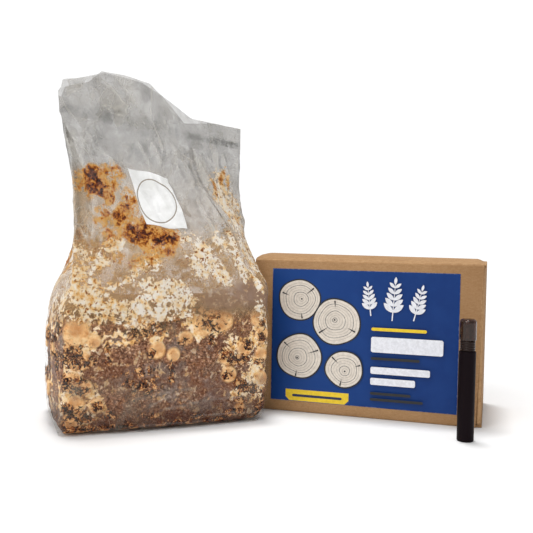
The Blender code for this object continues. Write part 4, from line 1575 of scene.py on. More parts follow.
    def block_masks(self, share: Array, points: Array) -> dict[str, Array]:
        """The block's masks: growth, knots, tan hearts, crumb clusters, and low, a darker foot that
        is partly painted shade and a top darkened by painted shade.

        Args:
            share: Shares of the way round.
            points: Points of the block.

        Returns:
            Values by mask name.
        """
        front = (share % 1.0) < FRONT_END
        along, height = self.form.unrolled(share, points)
        ground = np.where(front, strongest(CREAM_GROUND, along, height), 0.0)
        clouds = 0.5 + 0.5 * self.noise.fractal(points, 0.024, 3)
        side = np.where(front, 0.0, ease(0.40, 0.75, clouds) * 0.8)
        hearts = np.zeros(share.shape)
        for number, (middle, radius) in enumerate(self.knots):
            turn = 2.4 * number
            heart = middle + 0.28 * radius * np.array([math.sin(turn), 0.0, math.cos(turn)])
            away = np.linalg.norm(points - heart, axis=-1) / radius
            hearts = np.maximum(hearts, ease(0.78, 0.25, away))
        crumbs = np.where(front, strongest(CRUMB_CLUSTERS, along, height),
                          strongest(self.back_crumbs, along, height))
        bare = (front * ease(26.0, 22.0, height) * ease(44.0, 52.0, along)
                * ease(140.0, 132.0, along))
        high = 0.34 * ease(96.0, 112.0, height)
        return {"growth": np.maximum(np.maximum(ground, side), high) + 0.10,
                "knot": self.knot_field(points, 0.78, 1.18) * (1.0 - bare),
                "heart": hearts * (1.0 - bare),
                "crumbs": crumbs + 0.12 + 0.35 * ease(10.0, 2.0, height),
                # low: the foot darker, partly painted shade, and the top darkened by painted shade.
                "low": np.maximum(ease(34.0, 4.0, height) * (1.0 - 0.7 * ground),
                                  0.50 * ease(99.0, 112.0, height))}

    def block_surface(self, share: Array, height: Array) -> Array:
        """The block's sides.

        Args:
            share: Shares of the way round.
            height: Heights in metres, up to the shoulder.

        Returns:
            Points in the bag's own coordinates.
        """
        film = self.form.inner(share, height)
        depth = self.block_relief(film) - 0.0016 * ease(0.008, 0.0, height) ** 2
        points = film + self.form.outward(share, height) * depth[..., None]
        points[..., 2] = np.maximum(points[..., 2], 0.0014)
        return points

    def build_block(self) -> Piece:
        """The fruiting block: sides that fill the film, and a rough top, which is the rim drawn
        in along a quarter turn at the shoulder and then flat.

        Returns:
            The dressed piece.
        """
        share = self.columns(self.block_columns)
        shares, heights = np.meshgrid(share, np.linspace(0.0022, self.shoulder,
                                                         self.block_rows))
        sides = self.block_surface(shares, heights)
        part = np.linspace(0.0, 1.0, self.cap_rows + 1)[1:-1, None, None]
        inward = (sides[-1].mean(axis=0) - sides[-1]) * 0.97 * part**1.35
        cap = sides[-1] + inward
        reach = np.linalg.norm(inward, axis=-1)
        dome = np.sqrt(1.0 - (1.0 - np.clip(reach / 0.019, 0.0, 1.0)) ** 2)
        cap[..., 2] = self.shoulder + dome * (
            self.block_top - self.shoulder + 0.0022 * self.noise.fractal(cap, 0.016, 4, 0.55))
        grid = np.concatenate([sides, cap])
        masks = self.block_masks(np.broadcast_to(share, grid.shape[:2]), grid)
        return Shell(self.stand).add(grid, poles=(True, True), masks=masks).build(
            "block_body", GrownBlock())

    def build_crumbs(self) -> Piece:
        """Dark shavings on the block: short bent slivers with a three-sided section.

        A sliver's middle line is an arc, its half width swells as a cosine from end to end, and
        its section stays upright on the block.

        Returns:
            The dressed piece.
        """
        chance, count = np.random.default_rng(41), self.crumb_count
        rows = np.array([(b.along, b.height, b.half_along, b.half_height, b.weight) for b in
                         (*(Blob(*row) for row in CRUMB_CLUSTERS), *self.back_crumbs)])
        weights = rows[:, 2] * rows[:, 3] * rows[:, 4]
        rows = rows[chance.choice(len(rows), count, p=weights / weights.sum())]
        along, height = (rows[:, :2] + chance.normal(0.0, 0.55, (count, 2)) * rows[:, 2:4]).T * MM
        share = (along / self.form.width * FRONT_END) % 1.0
        height = np.where(height > 0.100, height - 0.012, np.maximum(height, 0.0048))
        low = np.minimum(height, self.shoulder)
        seat = self.block_surface(share, low)
        seat[:, 2] += height - low
        out = self.form.outward(share, low)
        up = np.array([0.0, 0.0, 1.0]) - out * out[:, 2:]
        up /= np.linalg.norm(up, axis=1, keepdims=True)
        angle = chance.uniform(0.0, 2 * math.pi, count)[:, None]
        ahead = np.cross(up, out) * np.cos(angle) + up * np.sin(angle)
        across = np.cross(out, ahead)
        length = chance.uniform(0.0012, 0.0046, count)[:, None]
        bend = chance.uniform(-0.9, 0.9, count)[:, None]
        width = chance.uniform(0.00030, 0.00080, count)[:, None]
        rings = []
        for step in np.linspace(-1.0, 1.0, 5):
            half = width * (0.25 + 0.75 * math.cos(0.45 * math.pi * step))
            centre = (seat + out * 0.00025 + ahead * 0.5 * length * step
                      + across * 0.35 * length * bend * step**2)
            rings += [centre + (across * math.cos(turn) + out * 0.7 * math.sin(turn)) * half
                      for turn in (0.3, 2.4, 4.5)]
        edge, ring = np.meshgrid(np.arange(3), 3 * np.arange(4))
        after = (edge + 1) % 3
        quads = np.stack([ring + edge, ring + after, ring + 3 + after, ring + 3 + edge],
                         axis=-1).reshape(-1, 4)
        tips = np.array([(2, 1, 0), (12, 13, 14)])
        first = len(rings) * np.arange(count)[:, None, None]
        faces = [*(quads + first).reshape(-1, 4).tolist(), *(tips + first).reshape(-1, 3).tolist()]
        tone = np.repeat(chance.beta(1.0, 2.6, count), len(rings))
        crumbs = make_object("bark_crumbs", self.stand.world(np.stack(rings, axis=1)), faces,
                             {"tone": tone})
        BarkCrumb().dress(crumbs)
        return crumbs

    def build_patch(self) -> Piece:
        """The breather patch: a sheet that lies on the film, its edges a little wavy.

        Returns:
            The dressed piece.
        """
        over, down = np.meshgrid(np.linspace(0, 1, self.patch_cells),
                                 np.linspace(1, 0, self.patch_cells))
        wave = 0.014 * np.sin(7.0 * over + 1.0) * (2 * down - 1) ** 3
        swell = np.sin(math.pi * down)
        over = (over * (1.0 + 0.05 * swell - 0.03 * bell(down - 0.10, 0.06))
                - (1 - over) * 0.05 * swell * ease(0.3, 0.8, down))
        shares = ((1 - down) * (1 - over), (1 - down) * over, down * over, down * (1 - over))
        share, height = (sum(part * corner[axis] for part, corner in zip(shares, PATCH_CORNERS))
                         for axis in (0, 1))
        rise = height = height + 0.06 * wave
        for _ in range(6):
            rise = rise + (height - self.form.inner(share, rise)[..., 2])
        points = self.film_surface(share, rise)
        out = self.form.outward(share, rise)
        points += out * (0.0007 + 0.0005 * self.noise.at(points, 0.012))[..., None]
        away = self.ring_distance(points[..., 0] / MM, points[..., 2] / MM)
        points -= out * 0.00025 * bell(away, 0.9)[..., None]
        return Shell(self.stand).add(points, wrap=False, masks={"ring": bell(away, 0.75)}).build(
            "breather_patch", BreatherPaper(), self.patch_wall)

    @staticmethod
    def ring_distance(x: Array, z: Array) -> Array:
        """Millimetres from the pressed ring, a smooth closed curve through eight points.

        Args:
            x, z: Millimetres along the bag and up.

        Returns:
            Distances, negative inside the ring.
        """
        middle = np.array(RING_MARKS, float).mean(axis=0)
        arm = np.array(RING_MARKS) - middle
        turn = np.arctan2(arm[:, 1], arm[:, 0])
        order = np.argsort(turn)
        fine = np.linspace(-math.pi, math.pi, 181)
        reach = np.interp(fine, turn[order], np.hypot(*arm.T)[order], period=2 * math.pi)
        window = np.hanning(41)
        smooth = np.convolve(np.concatenate([reach[-21:-1], reach, reach[1:21]]),
                             window / window.sum(), "valid")
        x, z = x - middle[0], z - middle[1]
        return np.hypot(x, z) - np.interp(np.arctan2(z, x), fine, smooth)

    def build(self) -> dict[str, Piece]:
        """Every piece of the bag, by the CAD node that it stands for or by its own name."""
        return {"grow_bag": self.build_film(), "fruiting_block": self.build_block(),
                "crumbs": self.build_crumbs(), "filter_patch": self.build_patch()}


# ---------------------------------------------------------------- the mailer

def rounded_box(width: float, height: float, radius: float, steps: int) -> Array:
    """Points round a rectangle with rounded corners, anticlockwise from its lower right one.

    Args:
        width, height: Size of the rectangle.
        radius: Radius of its corners.
        steps: Steps in each corner's arc.

    Returns:
        The points in order.
    """
    centres = ((width - radius, radius), (width - radius, height - radius),
               (radius, height - radius), (radius, radius))
    return np.array([(x + radius * math.cos(angle), y + radius * math.sin(angle))
                     for number, (x, y) in enumerate(centres)
                     for angle in 0.5 * math.pi * np.linspace(number - 1, number, steps + 1)])


@dataclass
class Mailer:
    """The kraft mailer: tray, lid and printed label, standing on its long narrow side."""

    stand: Stand
    width: float = 0.2307
    depth: float = 0.118
    height: float = 0.1575
    board: float = 0.003
    board_radius: float = 0.0012
    rolled_wall: float = 0.006
    crown_height: float = 0.0055
    crown_crest: float = 0.033
    crown_loss: float = 0.25
    corner_drop: float = 0.009
    lid_inset_top: float = 0.0015
    lid_inset_foot: float = 0.0055
    lid_fold: float = 0.0026
    edge_step: float = 0.0012
    label_size: tuple[float, float] = (0.1881, 0.1364)
    label_place: tuple[float, float] = (0.0193, 0.0113)
    label_gap: float = 0.00025
    label_wall: float = 0.00025
    noise: LatticeNoise = field(default_factory=lambda: LatticeNoise(17))

    def crown(self, along: Array | float, back: Array) -> Array:
        """How far the top wall stands above the front crease.

        It rises as a quarter wave to its crest and falls as a parabola to the back, is a little
        lower to the right, and drops at the crushed corner.

        Args:
            along: Metres from the left end.
            back: Metres behind the lid's face.

        Returns:
            Heights in metres.
        """
        rise = np.sin(0.5 * math.pi * np.clip(back / self.crown_crest, 0.0, 1.0))
        fall = np.clip((back - self.crown_crest) / (self.depth - self.crown_crest), 0.0, 1.0)
        crushed = ease(0.0, self.corner_drop, self.width - along)
        start = 0.75 + 0.25 * ease(0.0, 0.006, along)
        left_over = 1.0 - self.crown_loss * along / self.width
        return self.crown_height * left_over * rise * (1.0 - fall**2) * crushed * start

    def dents(self, points: Array, strength: float) -> Array:
        """Slow unevenness of hand-folded board, in metres."""
        return strength * self.noise.fractal(points, 0.045, 3)

    def band_section(self) -> tuple[Array, Array]:
        """The C-shaped section of top, back and foot walls, in (back, height).

        Returns:
            The outer side from the top's front edge round to the foot's, and the inner side
            with as many points.
        """
        front, top, board = self.edge_step + 0.002, self.height, self.board
        nick, turn = 0.0006, 0.0022
        upper = np.linspace(front + 0.003, self.depth - board, 26)
        down = np.linspace(top - board, board, 32)[1:-1]
        middle = self.depth - turn
        bend = [(middle + turn * math.sin(angle), top - turn + turn * math.cos(angle))
                for angle in np.linspace(0.2, math.pi / 2, 6)]

        def mirrored(half: list[tuple[float, float]], back: float) -> Array:
            """The upper half, the way down the back, and the half's mirror image below."""
            high = np.array(half)
            low = high * (1.0, -1.0) + (0.0, top)
            return np.concatenate([high, xyz(back, down, 0.0)[:, :2], low[::-1]])

        outer = [(front, top - nick), (front + nick, top), *((y, top) for y in upper), *bend]
        inner = [(front, top - board + nick), (front + nick, top - board),
                 *((y, top - board) for y in upper),
                 *[(self.depth - board, top - board)] * len(bend)]
        return mirrored(outer, self.depth), mirrored(inner, self.depth - board)

    def add_band(self, shell: Shell) -> None:
        """Adds the one wall that goes over the top, down the back and under the foot.

        Args:
            shell: Where it is added.
        """
        outer, inner = self.band_section()
        section, count, width = np.concatenate([outer, inner[::-1]]), len(outer), self.width
        along = np.array([0.0, 0.0004, *np.linspace(0.0012, width - 0.0012, 90),
                          width - 0.0004, width])[:, None]
        grid = xyz(along, section[:, 0], section[:, 1])
        high = ease(0.6 * self.height, self.height - self.board, grid[..., 2])
        grid[..., 2] += self.crown(grid[..., 0], grid[..., 1]) * high
        back = ease(self.depth - 0.006, self.depth, grid[..., 1])
        grid[..., 1] += back * (self.dents(grid, 0.0007) - 0.0007)
        from_end = np.minimum(along, width - along)
        fold = np.minimum(np.abs(grid[..., 1] - self.depth), np.abs(grid[..., 1] - 0.003))
        low = np.minimum(np.abs(grid[..., 2]), np.abs(grid[..., 2] - self.height))
        shell.add(grid, masks={
            "edge": np.exp(-np.minimum(from_end, np.maximum(fold, low)) / 0.003),
            "cut": from_end < 0.0003, "shade": 0.6 * (np.arange(len(section)) >= count)})
        # The two raw ends of the band: strips between its outer and inner sides.
        for end in (0, -1):
            strip = np.stack([grid[end, :count], grid[end, count:][::-1]])
            shell.add(strip, wrap=False, flip=end != 0,
                      masks={"edge": 0.4, "cut": 1.0, "shade": 0.2})

    def add_end_wall(self, shell: Shell, right: bool) -> None:
        """Adds one rolled end wall: double board, folded over at its front edge.

        Args:
            shell: Where it is added.
            right: Whether it is the right wall.
        """
        low, high = self.board + 0.0003, self.height - self.board - 0.0002
        roll, front = self.rolled_wall / 2, self.edge_step + 0.0002
        outer = np.linspace(self.depth - 0.0005, front + roll, 24)
        inner = np.linspace(front + roll, self.depth - self.board - 0.0003, 24)
        arc = np.linspace(0.0, math.pi, 11)[1:-1]
        x = np.concatenate([0 * outer, roll - roll * np.cos(arc), 0 * inner + 2 * roll])
        y = np.concatenate([outer, front + roll - roll * np.sin(arc), inner])
        grid = xyz(self.width - x if right else x, y, np.linspace(low, high, 60)[:, None])
        top = ease(0.5, 1.0, (grid[..., 2] - low) / (high - low)) * (0.55 if right else 0.75)
        grid[..., 2] += top * self.crown(0.5 * self.width, grid[..., 1])
        sink = self.dents(grid, 0.0005) - 0.0005
        grid[..., 0] += np.where(x < 0.001, sink if right else -sink, 0.0)
        away = np.abs(grid[..., 1] - front)
        shell.add(grid, poles=(True, True), flip=right, masks={
            "edge": np.exp(-away / 0.0025), "cut": 0.0, "shade": 0.35 * np.exp(-away / 0.004)})

    def build_tray(self) -> Piece:
        """The tray: the band and two rolled end walls, as one piece of board.

        Returns:
            The dressed piece.
        """
        shell = Shell(self.stand)
        self.add_band(shell)
        for right in (False, True):
            self.add_end_wall(shell, right)
        return shell.build("mailer_tray", KraftBoard())

    def lid_section(self) -> Array:
        """The lid panel's section in (back, height): up the face, round the fold, a little way
        back, and down inside.

        Returns:
            The section's points, a closed ring.
        """
        fold, board, height = self.lid_fold, self.board, self.height
        return np.array([
            *((0.0, z) for z in np.linspace(0.0024, height - fold, 70)),
            *((fold - fold * math.cos(angle), height - fold + fold * math.sin(angle))
              for angle in np.linspace(0.15, math.pi / 2, 8)),
            (board + 0.0002, height - 0.0002), (board, height - 0.0016),
            *((board, z) for z in np.linspace(height - 0.004, 0.004, 20)),
            (board, 0.0012), (board - 0.0008, 0.0002), (0.0014, 0.0), (0.0006, 0.0004),
            (0.0002, 0.0011)])

    def build_lid(self) -> Piece:
        """The lid: a rounded panel, its two ends, and the flaps behind it.

        Returns:
            The dressed piece.
        """
        section, middle = self.lid_section(), self.board / 2
        part = np.array([0.0, 0.002, 0.006, *np.linspace(0.012, 0.988, 90), 0.994, 0.998,
                         1.0])[:, None]
        right = (self.width - self.lid_inset_foot
                 + (self.lid_inset_foot - self.lid_inset_top) * section[:, 1] / self.height)
        grid = xyz(part * right, section[:, 0], section[:, 1])
        # Side edges are rounded: the face steps back within the last millimetre.
        from_side = np.minimum(grid[..., 0], right - grid[..., 0])
        grid[..., 1] += ease(0.0009, 0.0, from_side) * 0.35 * (middle - grid[..., 1])
        low = np.minimum(grid[..., 2], self.height - grid[..., 2])
        grid[..., 1] += ((grid[..., 1] < middle) * ease(0.0, 0.03, low)
                         * ease(0.0, 0.02, from_side) * (0.00018 + self.dents(grid, 0.00016)))
        shade = np.maximum(0.35 * ease(0.020, 0.0, grid[..., 2]),
                           0.80 * ease(0.62 * self.width, self.width, grid[..., 0]))
        shell = Shell(self.stand).add(grid, flip=True, masks={
            "edge": np.exp(-np.minimum(from_side, low) / 0.0022),
            "cut": (part == 0.0) | (part == 1.0), "shade": shade})
        for end in (0, -1):
            centre = grid[end].mean(axis=0)
            inner = centre + (grid[end] - centre) * (1.0, 0.2, 0.985)
            shell.add(np.stack([grid[end], inner]), poles=(False, True), flip=end != 0,
                      masks={"edge": 0.6, "cut": 0.8, "shade": 0.2})
        self.add_flaps(shell)
        return shell.build("mailer_lid", KraftBoard())

    def add_flaps(self, shell: Shell) -> None:
        """Adds the tuck flap and the two ears, which lie inside the closed tray.

        Args:
            shell: Where they are added.
        """
        board, inside, left = self.board, self.board - 0.0002, self.rolled_wall + 0.0003
        right, top = self.width - left, self.height - 0.008
        for low, high in (((left + board, inside, board + 0.0003),
                           (right - board, 0.040, 2 * board)),
                          ((left, inside, 0.012), (left + board, 0.055, top)),
                          ((right - board, inside, 0.012), (right, 0.055, top))):
            size = np.array(high) - low
            ear = bool(size[0] < size[2])
            back, thin = rounded_box(size[1], min(size[0], size[2]), self.board_radius, 5).T
            run = np.linspace(0.0, max(size[0], size[2]), 12)[:, None]
            grid = xyz(thin, back, run) if ear else xyz(run, back, thin)
            shell.add(grid + low, poles=(True, True), flip=ear,
                      masks={"edge": 0.3, "cut": 0.0, "shade": 0.5})

    def build_label(self) -> Piece:
        """The label: a thin sheet with a rounded rim.

        Returns:
            The dressed piece.
        """
        width, height = self.label_size
        x, z = np.meshgrid(*(
            np.array([0.0, 0.0002, 0.0005, *np.linspace(0.002, size - 0.002, count),
                      size - 0.0005, size - 0.0002, size])
            for size, count in ((width, 60), (height, 44))))
        rim = np.minimum(np.minimum(x, width - x), np.minimum(z, height - z))
        grid = xyz(x + self.label_place[0],
                   self.label_gap * (0.6 * ease(0.0006, 0.0, rim) - 1.0),
                   z + self.label_place[1])
        return Shell(self.stand).add(grid, wrap=False, masks={
            "edge": np.exp(-rim / 0.0006), "fade": ease(0.0, width, x)}).build(
                "mailer_label", LabelStock(), self.label_wall)

    def build(self) -> dict[str, Piece]:
        """Every piece of the mailer, by the CAD node that it stands for or by its own name."""
        return {"carton_tray": self.build_tray(), "carton_lid": self.build_lid(),
                "carton_label": self.build_label(), **LabelPrint(self).build()}


def axes(turn: float) -> tuple[Array, Array]:
    """Unit vectors along a turn, in radians, and square to it."""
    cos, sin = math.cos(turn), math.sin(turn)
    return np.array([cos, sin]), np.array([-sin, cos])


@dataclass
class LabelPrint:
    """The label's printed design: sawn log ends, leaf sprigs, plain bars and a yellow tab.

    Every shape is a filled outline, drawn as rings from its middle to its edge, in millimetres
    on the label.
    """

    mailer: Mailer
    shells: dict[InkTone, Shell] = field(default_factory=dict)
    layer: int = 0
    layer_step: float = 0.00003
    ring_parts: Sequence[float] = (0.02, 0.51, 1.0)
    tab: Sequence[tuple[float, float]] = (
        (20.0, 0.4), (78.0, 0.4), (82.0, 4.4), (82.0, 12.0), (16.0, 12.0), (16.0, 4.4))
    logs: Sequence[Sequence[float]] = (
        (29.0, 105.0, 22.5, 0.4), (68.0, 84.0, 25.0, 2.2), (30.0, 47.0, 24.5, 3.9),
        (77.0, 36.5, 20.0, 5.1))
    sprigs: Sequence[Sequence[float]] = (
        (124.0, 88.0, 38.0, 86.0), (103.0, 92.0, 30.0, 97.0), (145.0, 89.0, 32.0, 76.0))
    bars: Sequence[tuple[InkTone, float, float, float, float]] = (
        (InkTone.YELLOW, 77.5, 54.0, 3.2, 1.5), (InkTone.WHITE, 56.0, 70.0, 15.5, 2.0),
        (InkTone.BLACK, 48.5, 48.0, 2.8, 1.3), (InkTone.WHITE, 34.5, 58.0, 7.0, 1.6),
        (InkTone.WHITE, 23.5, 44.0, 7.0, 1.6), (InkTone.BLACK, 13.5, 40.0, 2.8, 1.3),
        (InkTone.BLACK, 7.5, 52.0, 2.8, 1.3))
    bars_left: float = 104.0

    def draw(self, tone: InkTone, rings: Array, filled: bool) -> None:
        """Prints rings of points on top of what is there.

        Args:
            tone: The ink.
            rings: Rings of (x, z) points, the innermost first.
            filled: Whether the innermost ring is closed.
        """
        self.layer += 1
        mailer = self.mailer
        out = mailer.label_gap + mailer.label_wall + self.layer_step * self.layer
        grid = xyz(mailer.label_place[0] + rings[..., 0] * MM, -out,
                   mailer.label_place[1] + rings[..., 1] * MM)
        shell = self.shells.setdefault(tone, Shell(mailer.stand))
        shell.add(grid, poles=(filled, False), flip=True)

    def fill(self, tone: InkTone, outline: Array, middle: Array | None = None) -> None:
        """Prints a filled shape.

        Args:
            tone: The ink.
            outline: Points round the shape, anticlockwise.
            middle: A point that sees the whole outline, or None for its mean.
        """
        centre = outline.mean(axis=0) if middle is None else middle
        parts = np.array(self.ring_parts)[:, None, None]
        self.draw(tone, centre + (outline - centre) * parts, True)

    @staticmethod
    def oval(middle: Array, radius: float, ratio: float, wobble: float, seed: float,
             count: int = 72) -> Array:
        """An oval outline with a slow wobble: the radius times 1 plus a sum of two sines.

        Args:
            middle: The oval's middle.
            radius: Half its width.
            ratio: Its height as a share of its width.
            wobble: How far it strays.
            seed: Turns the sines.
            count: How many points it has.

        Returns:
            The outline.
        """
        angle = np.linspace(0.0, 2 * math.pi, count, endpoint=False)
        swell = 1.0 + wobble * (0.6 * np.sin(3 * angle + seed) + 0.4 * np.sin(5 * angle + 2 * seed))
        arm = np.stack([np.cos(angle), ratio * np.sin(angle)], axis=1)
        return middle + radius * swell[:, None] * arm

    def log_end(self, x: float, y: float, size: float, seed: float) -> None:
        """Prints a sawn log end: black bark line, cream wood, growth rings and checks.

        Args:
            x, y: Its middle.
            size: Its radius.
            seed: Sets its wobble, its heart and its checks.
        """
        middle = np.array([x, y])
        self.fill(InkTone.BLACK, self.oval(middle, size, 0.96, 0.035, seed), middle)
        self.fill(InkTone.CREAM, self.oval(middle, size - 1.5, 0.96, 0.03, seed), middle)
        heart = middle + size * np.array([0.12 * math.cos(seed), 0.10 * math.sin(seed)])
        for number, radius in enumerate(np.arange(size - 4.2, 1.6, -2.6)):
            centre = heart + (middle - heart) * radius / size
            turn = seed + 0.2 * number
            self.draw(InkTone.BLACK if number % 3 == 1 else InkTone.WARM_GREY, np.stack([
                self.oval(centre, radius - 0.42, 0.95, 0.045, turn),
                self.oval(centre, radius, 0.95, 0.045, turn)]), False)
        self.fill(InkTone.BLACK, self.oval(heart, 0.9, 1.0, 0.0, 0.0, 24), heart)
        for check in range(3):
            ahead, side = axes(seed * 1.7 + 2.1 * check)
            tip = middle + size * (0.38 + 0.1 * check) * ahead
            base = middle + size * 0.86 * ahead
            self.fill(InkTone.BLACK, np.array([tip, base - 0.8 * side, base + 0.8 * side]))

    def leaf(self, base: Array, length: float, width: float, turn: float) -> None:
        """Prints a pointed leaf: two sine arcs from its stalk to its tip.

        Args:
            base: Where its stalk is.
            length, width: Its size.
            turn: Which way it points, in radians.
        """
        ahead, side = axes(turn)
        part = np.linspace(0.0, 1.0, 14)[:, None]
        half = width / 2 * np.sin(math.pi * part) ** 0.8 * side
        line = base + part * length * ahead
        self.fill(InkTone.WHITE, np.vstack([line - half, (line + half)[::-1][1:-1]]))

    def sprig(self, x: float, y: float, height: float, turn: float) -> None:
        """Prints a stalk with pairs of leaves.

        Args:
            x, y: The stalk's foot.
            height: The stalk's length.
            turn: Which way it points, in radians.
        """
        base, (ahead, side) = np.array([x, y]), axes(turn)
        tip = base + height * ahead
        self.fill(InkTone.WHITE, np.array([base - 0.6 * side, tip - 0.25 * side,
                                           tip + 0.25 * side, base + 0.6 * side]))
        for pair in range(5):
            at = base + ahead * height * (0.22 + 0.16 * pair)
            size = height * (0.34 - 0.035 * pair)
            for lean in (0.85, -0.85):
                self.leaf(at, size, size * 0.42, turn + lean)
        self.leaf(base + ahead * height * 0.95, height * 0.2, height * 0.08, turn)

    def build(self) -> dict[str, Piece]:
        """Prints the whole label, and gives one piece for each ink.

        Returns:
            The pieces by the name of their ink.
        """
        self.fill(InkTone.YELLOW, np.array(self.tab))
        self.fill(InkTone.NAVY, rounded_box(52.0, 2.6, 1.2, 6) + (23.0, 4.6))
        for log in self.logs:
            self.log_end(*log)
        for x, y, height, degrees in self.sprigs:
            self.sprig(x, y, height, math.radians(degrees))
        for tone, foot, width, height, radius in self.bars:
            self.fill(tone, rounded_box(width, height, radius, 6) + (self.bars_left, foot))
        inks = {tone: PrintInk(tone) for tone in self.shells}
        return {ink.name: self.shells[tone].build("label_" + ink.name.replace(" ", "_"), ink)
                for tone, ink in inks.items()}


# ---------------------------------------------------------------- the sprayer

def fillet(corner: tuple[float, float], radius: float, start: float, end: float,
           steps: int = 6) -> Line:
    """Points on an arc about a corner's centre, angles in degrees.

    Args:
        corner: The arc's centre.
        radius: Its radius.
        start, end: Angles of its ends.
        steps: Steps between them.

    Returns:
        (radius, height) points for a profile.
    """
    angles = np.radians(np.linspace(start, end, steps + 1))
    return [(corner[0] + radius * math.cos(a), corner[1] + radius * math.sin(a))
            for a in angles]


@dataclass
class MistSprayer:
    """The pen sprayer: hollow bottle, pump with collar and button, smoky cap."""

    stand: Stand
    radius: float = 0.0075
    body_top: float = 0.0810
    collar_foot: float = 0.0813
    collar_top: float = 0.0905
    height: float = 0.110
    cap_radius: float = 0.0074
    cap_wall: float = 0.0009
    crown: float = 0.0034
    wall: float = 0.0012
    steps: int = 72

    def turned(self, name: str, profile: Line, finish: Finish) -> Piece:
        """Makes a closed turned piece.

        Args:
            name: The piece's name.
            profile: (radius, height) points, starting and ending near the axis.
            finish: Its finish.

        Returns:
            The piece, on the sprayer's axis.
        """
        angle = np.linspace(0.0, 2 * math.pi, self.steps, endpoint=False)
        radius, height = np.array(profile).T[..., None]
        grid = xyz(radius * np.cos(angle), radius * np.sin(angle), height)
        return Shell(self.stand).add(grid, poles=(True, True)).build(name, finish)

    def bottle_profile(self) -> Line:
        """The bottle from the middle of its foot, up the outside, and down in its bore.

        Returns:
            (radius, height) points.
        """
        r, wall, top = self.radius, self.wall, self.body_top
        return [
            (0.0002, 0.0007), (r - 0.0030, 0.0007), (r - 0.0022, 0.0),
            *fillet((r - 0.0010, 0.0010), 0.0010, -90, 0),
            *((r, z) for z in np.linspace(0.004, top - 0.0030, 24)),
            *fillet((r - 0.0008, top - 0.0008), 0.0008, 0, 90),
            (0.0056, top), (0.0055, top + 0.0004), (0.0055, 0.0883), (0.0053, 0.0885),
            (0.0041, 0.0885), (0.0040, 0.0883), (0.0040, top - 0.0012),
            (r - wall, top - 0.0040), (r - wall, wall + 0.001), (r - wall - 0.001, wall),
            (0.0002, wall)]

    def pump_profile(self) -> Line:
        """The pump from its dip tube, over the collar's four ribs, to the button's top.

        Returns:
            (radius, height) points.
        """
        r, top, foot, head = self.radius, self.body_top, self.collar_foot, self.collar_top
        step = (head - foot - 0.0006) / 4
        ribs = [(r - inset, foot + 0.0003 + (ring + part) * step) for ring in range(4)
                for inset, part in ((0.0011, 0.0), (0.0008, 0.25), (0.0008, 0.7), (0.0013, 0.9))]
        return [
            (0.0002, 0.0060), (0.0012, 0.0060), (0.0013, top - 0.011), (0.0037, top - 0.008),
            (0.0037, 0.0888), (0.0058, 0.0888), (0.0058, foot), (r - 0.0012, foot), *ribs,
            (r - 0.0013, head), (0.0030, head), (0.0028, head + 0.0003),
            (0.0028, head + 0.0045), (0.0042, head + 0.0046), (0.0046, head + 0.0050),
            (0.0046, 0.1030), *fillet((0.0034, 0.1032), 0.0012, 0, 90), (0.0002, 0.1043)]

    def cap_profile(self) -> Line:
        """The cap from the middle of its bore's roof, down inside, and up the outside.

        Returns:
            (radius, height) points.
        """
        cap, crown, height, foot = (self.cap_radius, self.crown, self.height,
                                    self.collar_top + 0.0003)
        bore = cap - self.cap_wall
        return [
            (0.0002, height - 0.0010),
            *fillet((bore - crown + 0.0009, height - crown), crown - 0.0010, 90, 0),
            (bore, foot + 0.0002), (bore + 0.0002, foot), (cap - 0.0002, foot),
            (cap, foot + 0.0003), (cap, foot + 0.0012), (cap, height - crown - 0.004),
            *fillet((cap - crown, height - crown), crown, 0, 90, 10), (0.0002, height)]

    def build(self) -> dict[str, Piece]:
        """Every piece of the sprayer, by the CAD node that it stands for.

        Returns:
            The dressed pieces.
        """
        smoke = MouldedPlastic("smoke plastic", srgb(116, 76, 56), 0.09, 0.92, 0.26)
        grey = MouldedPlastic("grey plastic", srgb(32, 18, 13), 0.26, 0.0, 0.22)
        return {
            "sprayer_bottle": self.turned("sprayer_body", self.bottle_profile(),
                                          MouldedPlastic()),
            "sprayer_pump": self.turned("sprayer_head", self.pump_profile(), grey),
            "sprayer_cap": self.turned("sprayer_cover", self.cap_profile(), smoke)}


# ---------------------------------------------------------------- the studio

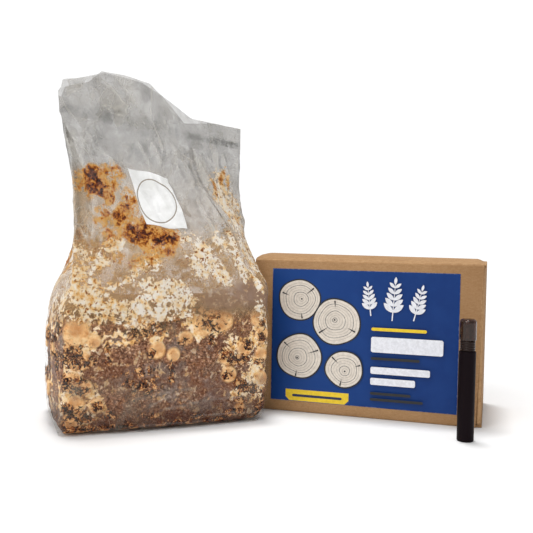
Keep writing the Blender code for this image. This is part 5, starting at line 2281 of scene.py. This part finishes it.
@dataclass(frozen=True)
class Studio:
    """Pale floor, soft light and the camera that fits the photograph."""

    stand: Stand
    floor: float = 6.0
    floor_drop: float = 0.0002
    sky: float = 0.50
    sky_seen: float = 1.05
    camera_step: tuple[float, float] = (-0.1814, -0.6415)
    camera_height: float = 0.1785
    pitch: float = 0.0390
    roll: float = 0.0177
    image_side: int = 533
    focal_pixels: float = 720.0
    sensor: float = 36.0

    def build_floor(self) -> None:
        """A wide matt floor, just under the object."""
        x, y = np.meshgrid(*[np.linspace(-self.floor, self.floor, 3)] * 2)
        shell = Shell(Stand(0.0, 0.0, 0.0)).add(xyz(x, y, -self.floor_drop), wrap=False)
        floor = shell.build("studio_floor", StudioSweep())

    def build_light(self) -> None:
        """A white sky, dimmer for the object than for the camera, and two soft suns.

        One comes from the front left. The other stands nearly overhead, a little behind, and
        draws the short shadow in front of each thing.
        """
        world = bpy.data.worlds.new("studio")
        world.use_nodes = True
        world.node_tree.nodes.clear()
        board = Board(world.node_tree)
        seen = board.node("LightPath", out="Is Camera Ray")
        sky = board.node("Background", {"Color": (1.0, 1.0, 1.0, 1.0),
                                        "Strength": seen * (self.sky_seen - self.sky) + self.sky})
        board.node("OutputWorld", {"Surface": sky})
        bpy.context.scene.world = world
        for name, energy, angle, ahead in (("key", 1.30, 50.0, (0.55, 0.80, -0.85)),
                                           ("top", 1.74, 12.0, (0.06, -0.13, -1.0))):
            lamp = bpy.data.lights.new(name, "SUN")
            lamp.energy, lamp.angle = energy, math.radians(angle)
            lit = bpy.data.objects.new(name, lamp)
            lit.rotation_euler = Vector(ahead).to_track_quat("-Z", "Y").to_euler()
            bpy.context.scene.collection.objects.link(lit)

    def build_camera(self) -> None:
        """The camera: pitched down a little and rolled, with the fitted focal length."""
        ahead = Vector((0.0, math.cos(self.pitch), -math.sin(self.pitch)))
        level_up = Vector((0.0, math.sin(self.pitch), math.cos(self.pitch)))
        level_right = Vector((1.0, 0.0, 0.0))
        right = level_right * math.cos(self.roll) + level_up * math.sin(self.roll)
        up = level_up * math.cos(self.roll) - level_right * math.sin(self.roll)
        lens = bpy.data.cameras.new("camera")
        lens.sensor_width = self.sensor
        lens.lens = self.sensor * self.focal_pixels / self.image_side
        lens.clip_start, lens.clip_end = 0.02, 30.0
        camera = bpy.data.objects.new("camera", lens)
        place = self.stand.beside(self.camera_step, 0.0)
        turn = Matrix((right, up, -ahead)).transposed().to_4x4()
        camera.matrix_world = Matrix.Translation((place.x, place.y, self.camera_height)) @ turn
        bpy.context.scene.collection.objects.link(camera)
        bpy.context.scene.camera = camera

    def build(self) -> None:
        """Builds the whole studio."""
        self.build_floor()
        self.build_light()
        self.build_camera()
        scene = bpy.context.scene
        scene.view_settings.view_transform = "Standard"
        scene.cycles.transparent_max_bounces = 32


def attach(pieces: Mapping[str, Piece]) -> None:
    """Rides every piece on the body, and hides the CAD node it stands for.

    Args:
        pieces: The pieces by CAD node or by their own name.
    """
    for key, piece in pieces.items():
        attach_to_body(piece, BODY)
        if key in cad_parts:
            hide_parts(key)
        LOG.info("%s: %d vertices", piece.name, len(piece.data.vertices))


def main() -> None:
    """Builds the studio and the three things, and reports each piece."""
    logging.basicConfig(level=logging.INFO, format="%(name)s %(message)s")
    low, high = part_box("sprayer_bottle")
    axis = Stand((low.x + high.x) / 2, (low.y + high.y) / 2, 0.0)
    Studio(axis).build()
    bag = GrowBag(axis.beside(BAG_STEP, BAG_TURN))
    mailer = Mailer(axis.beside(CARTON_STEP, CARTON_TURN))
    for thing in (bag, mailer, MistSprayer(axis)):
        attach(thing.build())


if __name__ == "__main__":
    main()
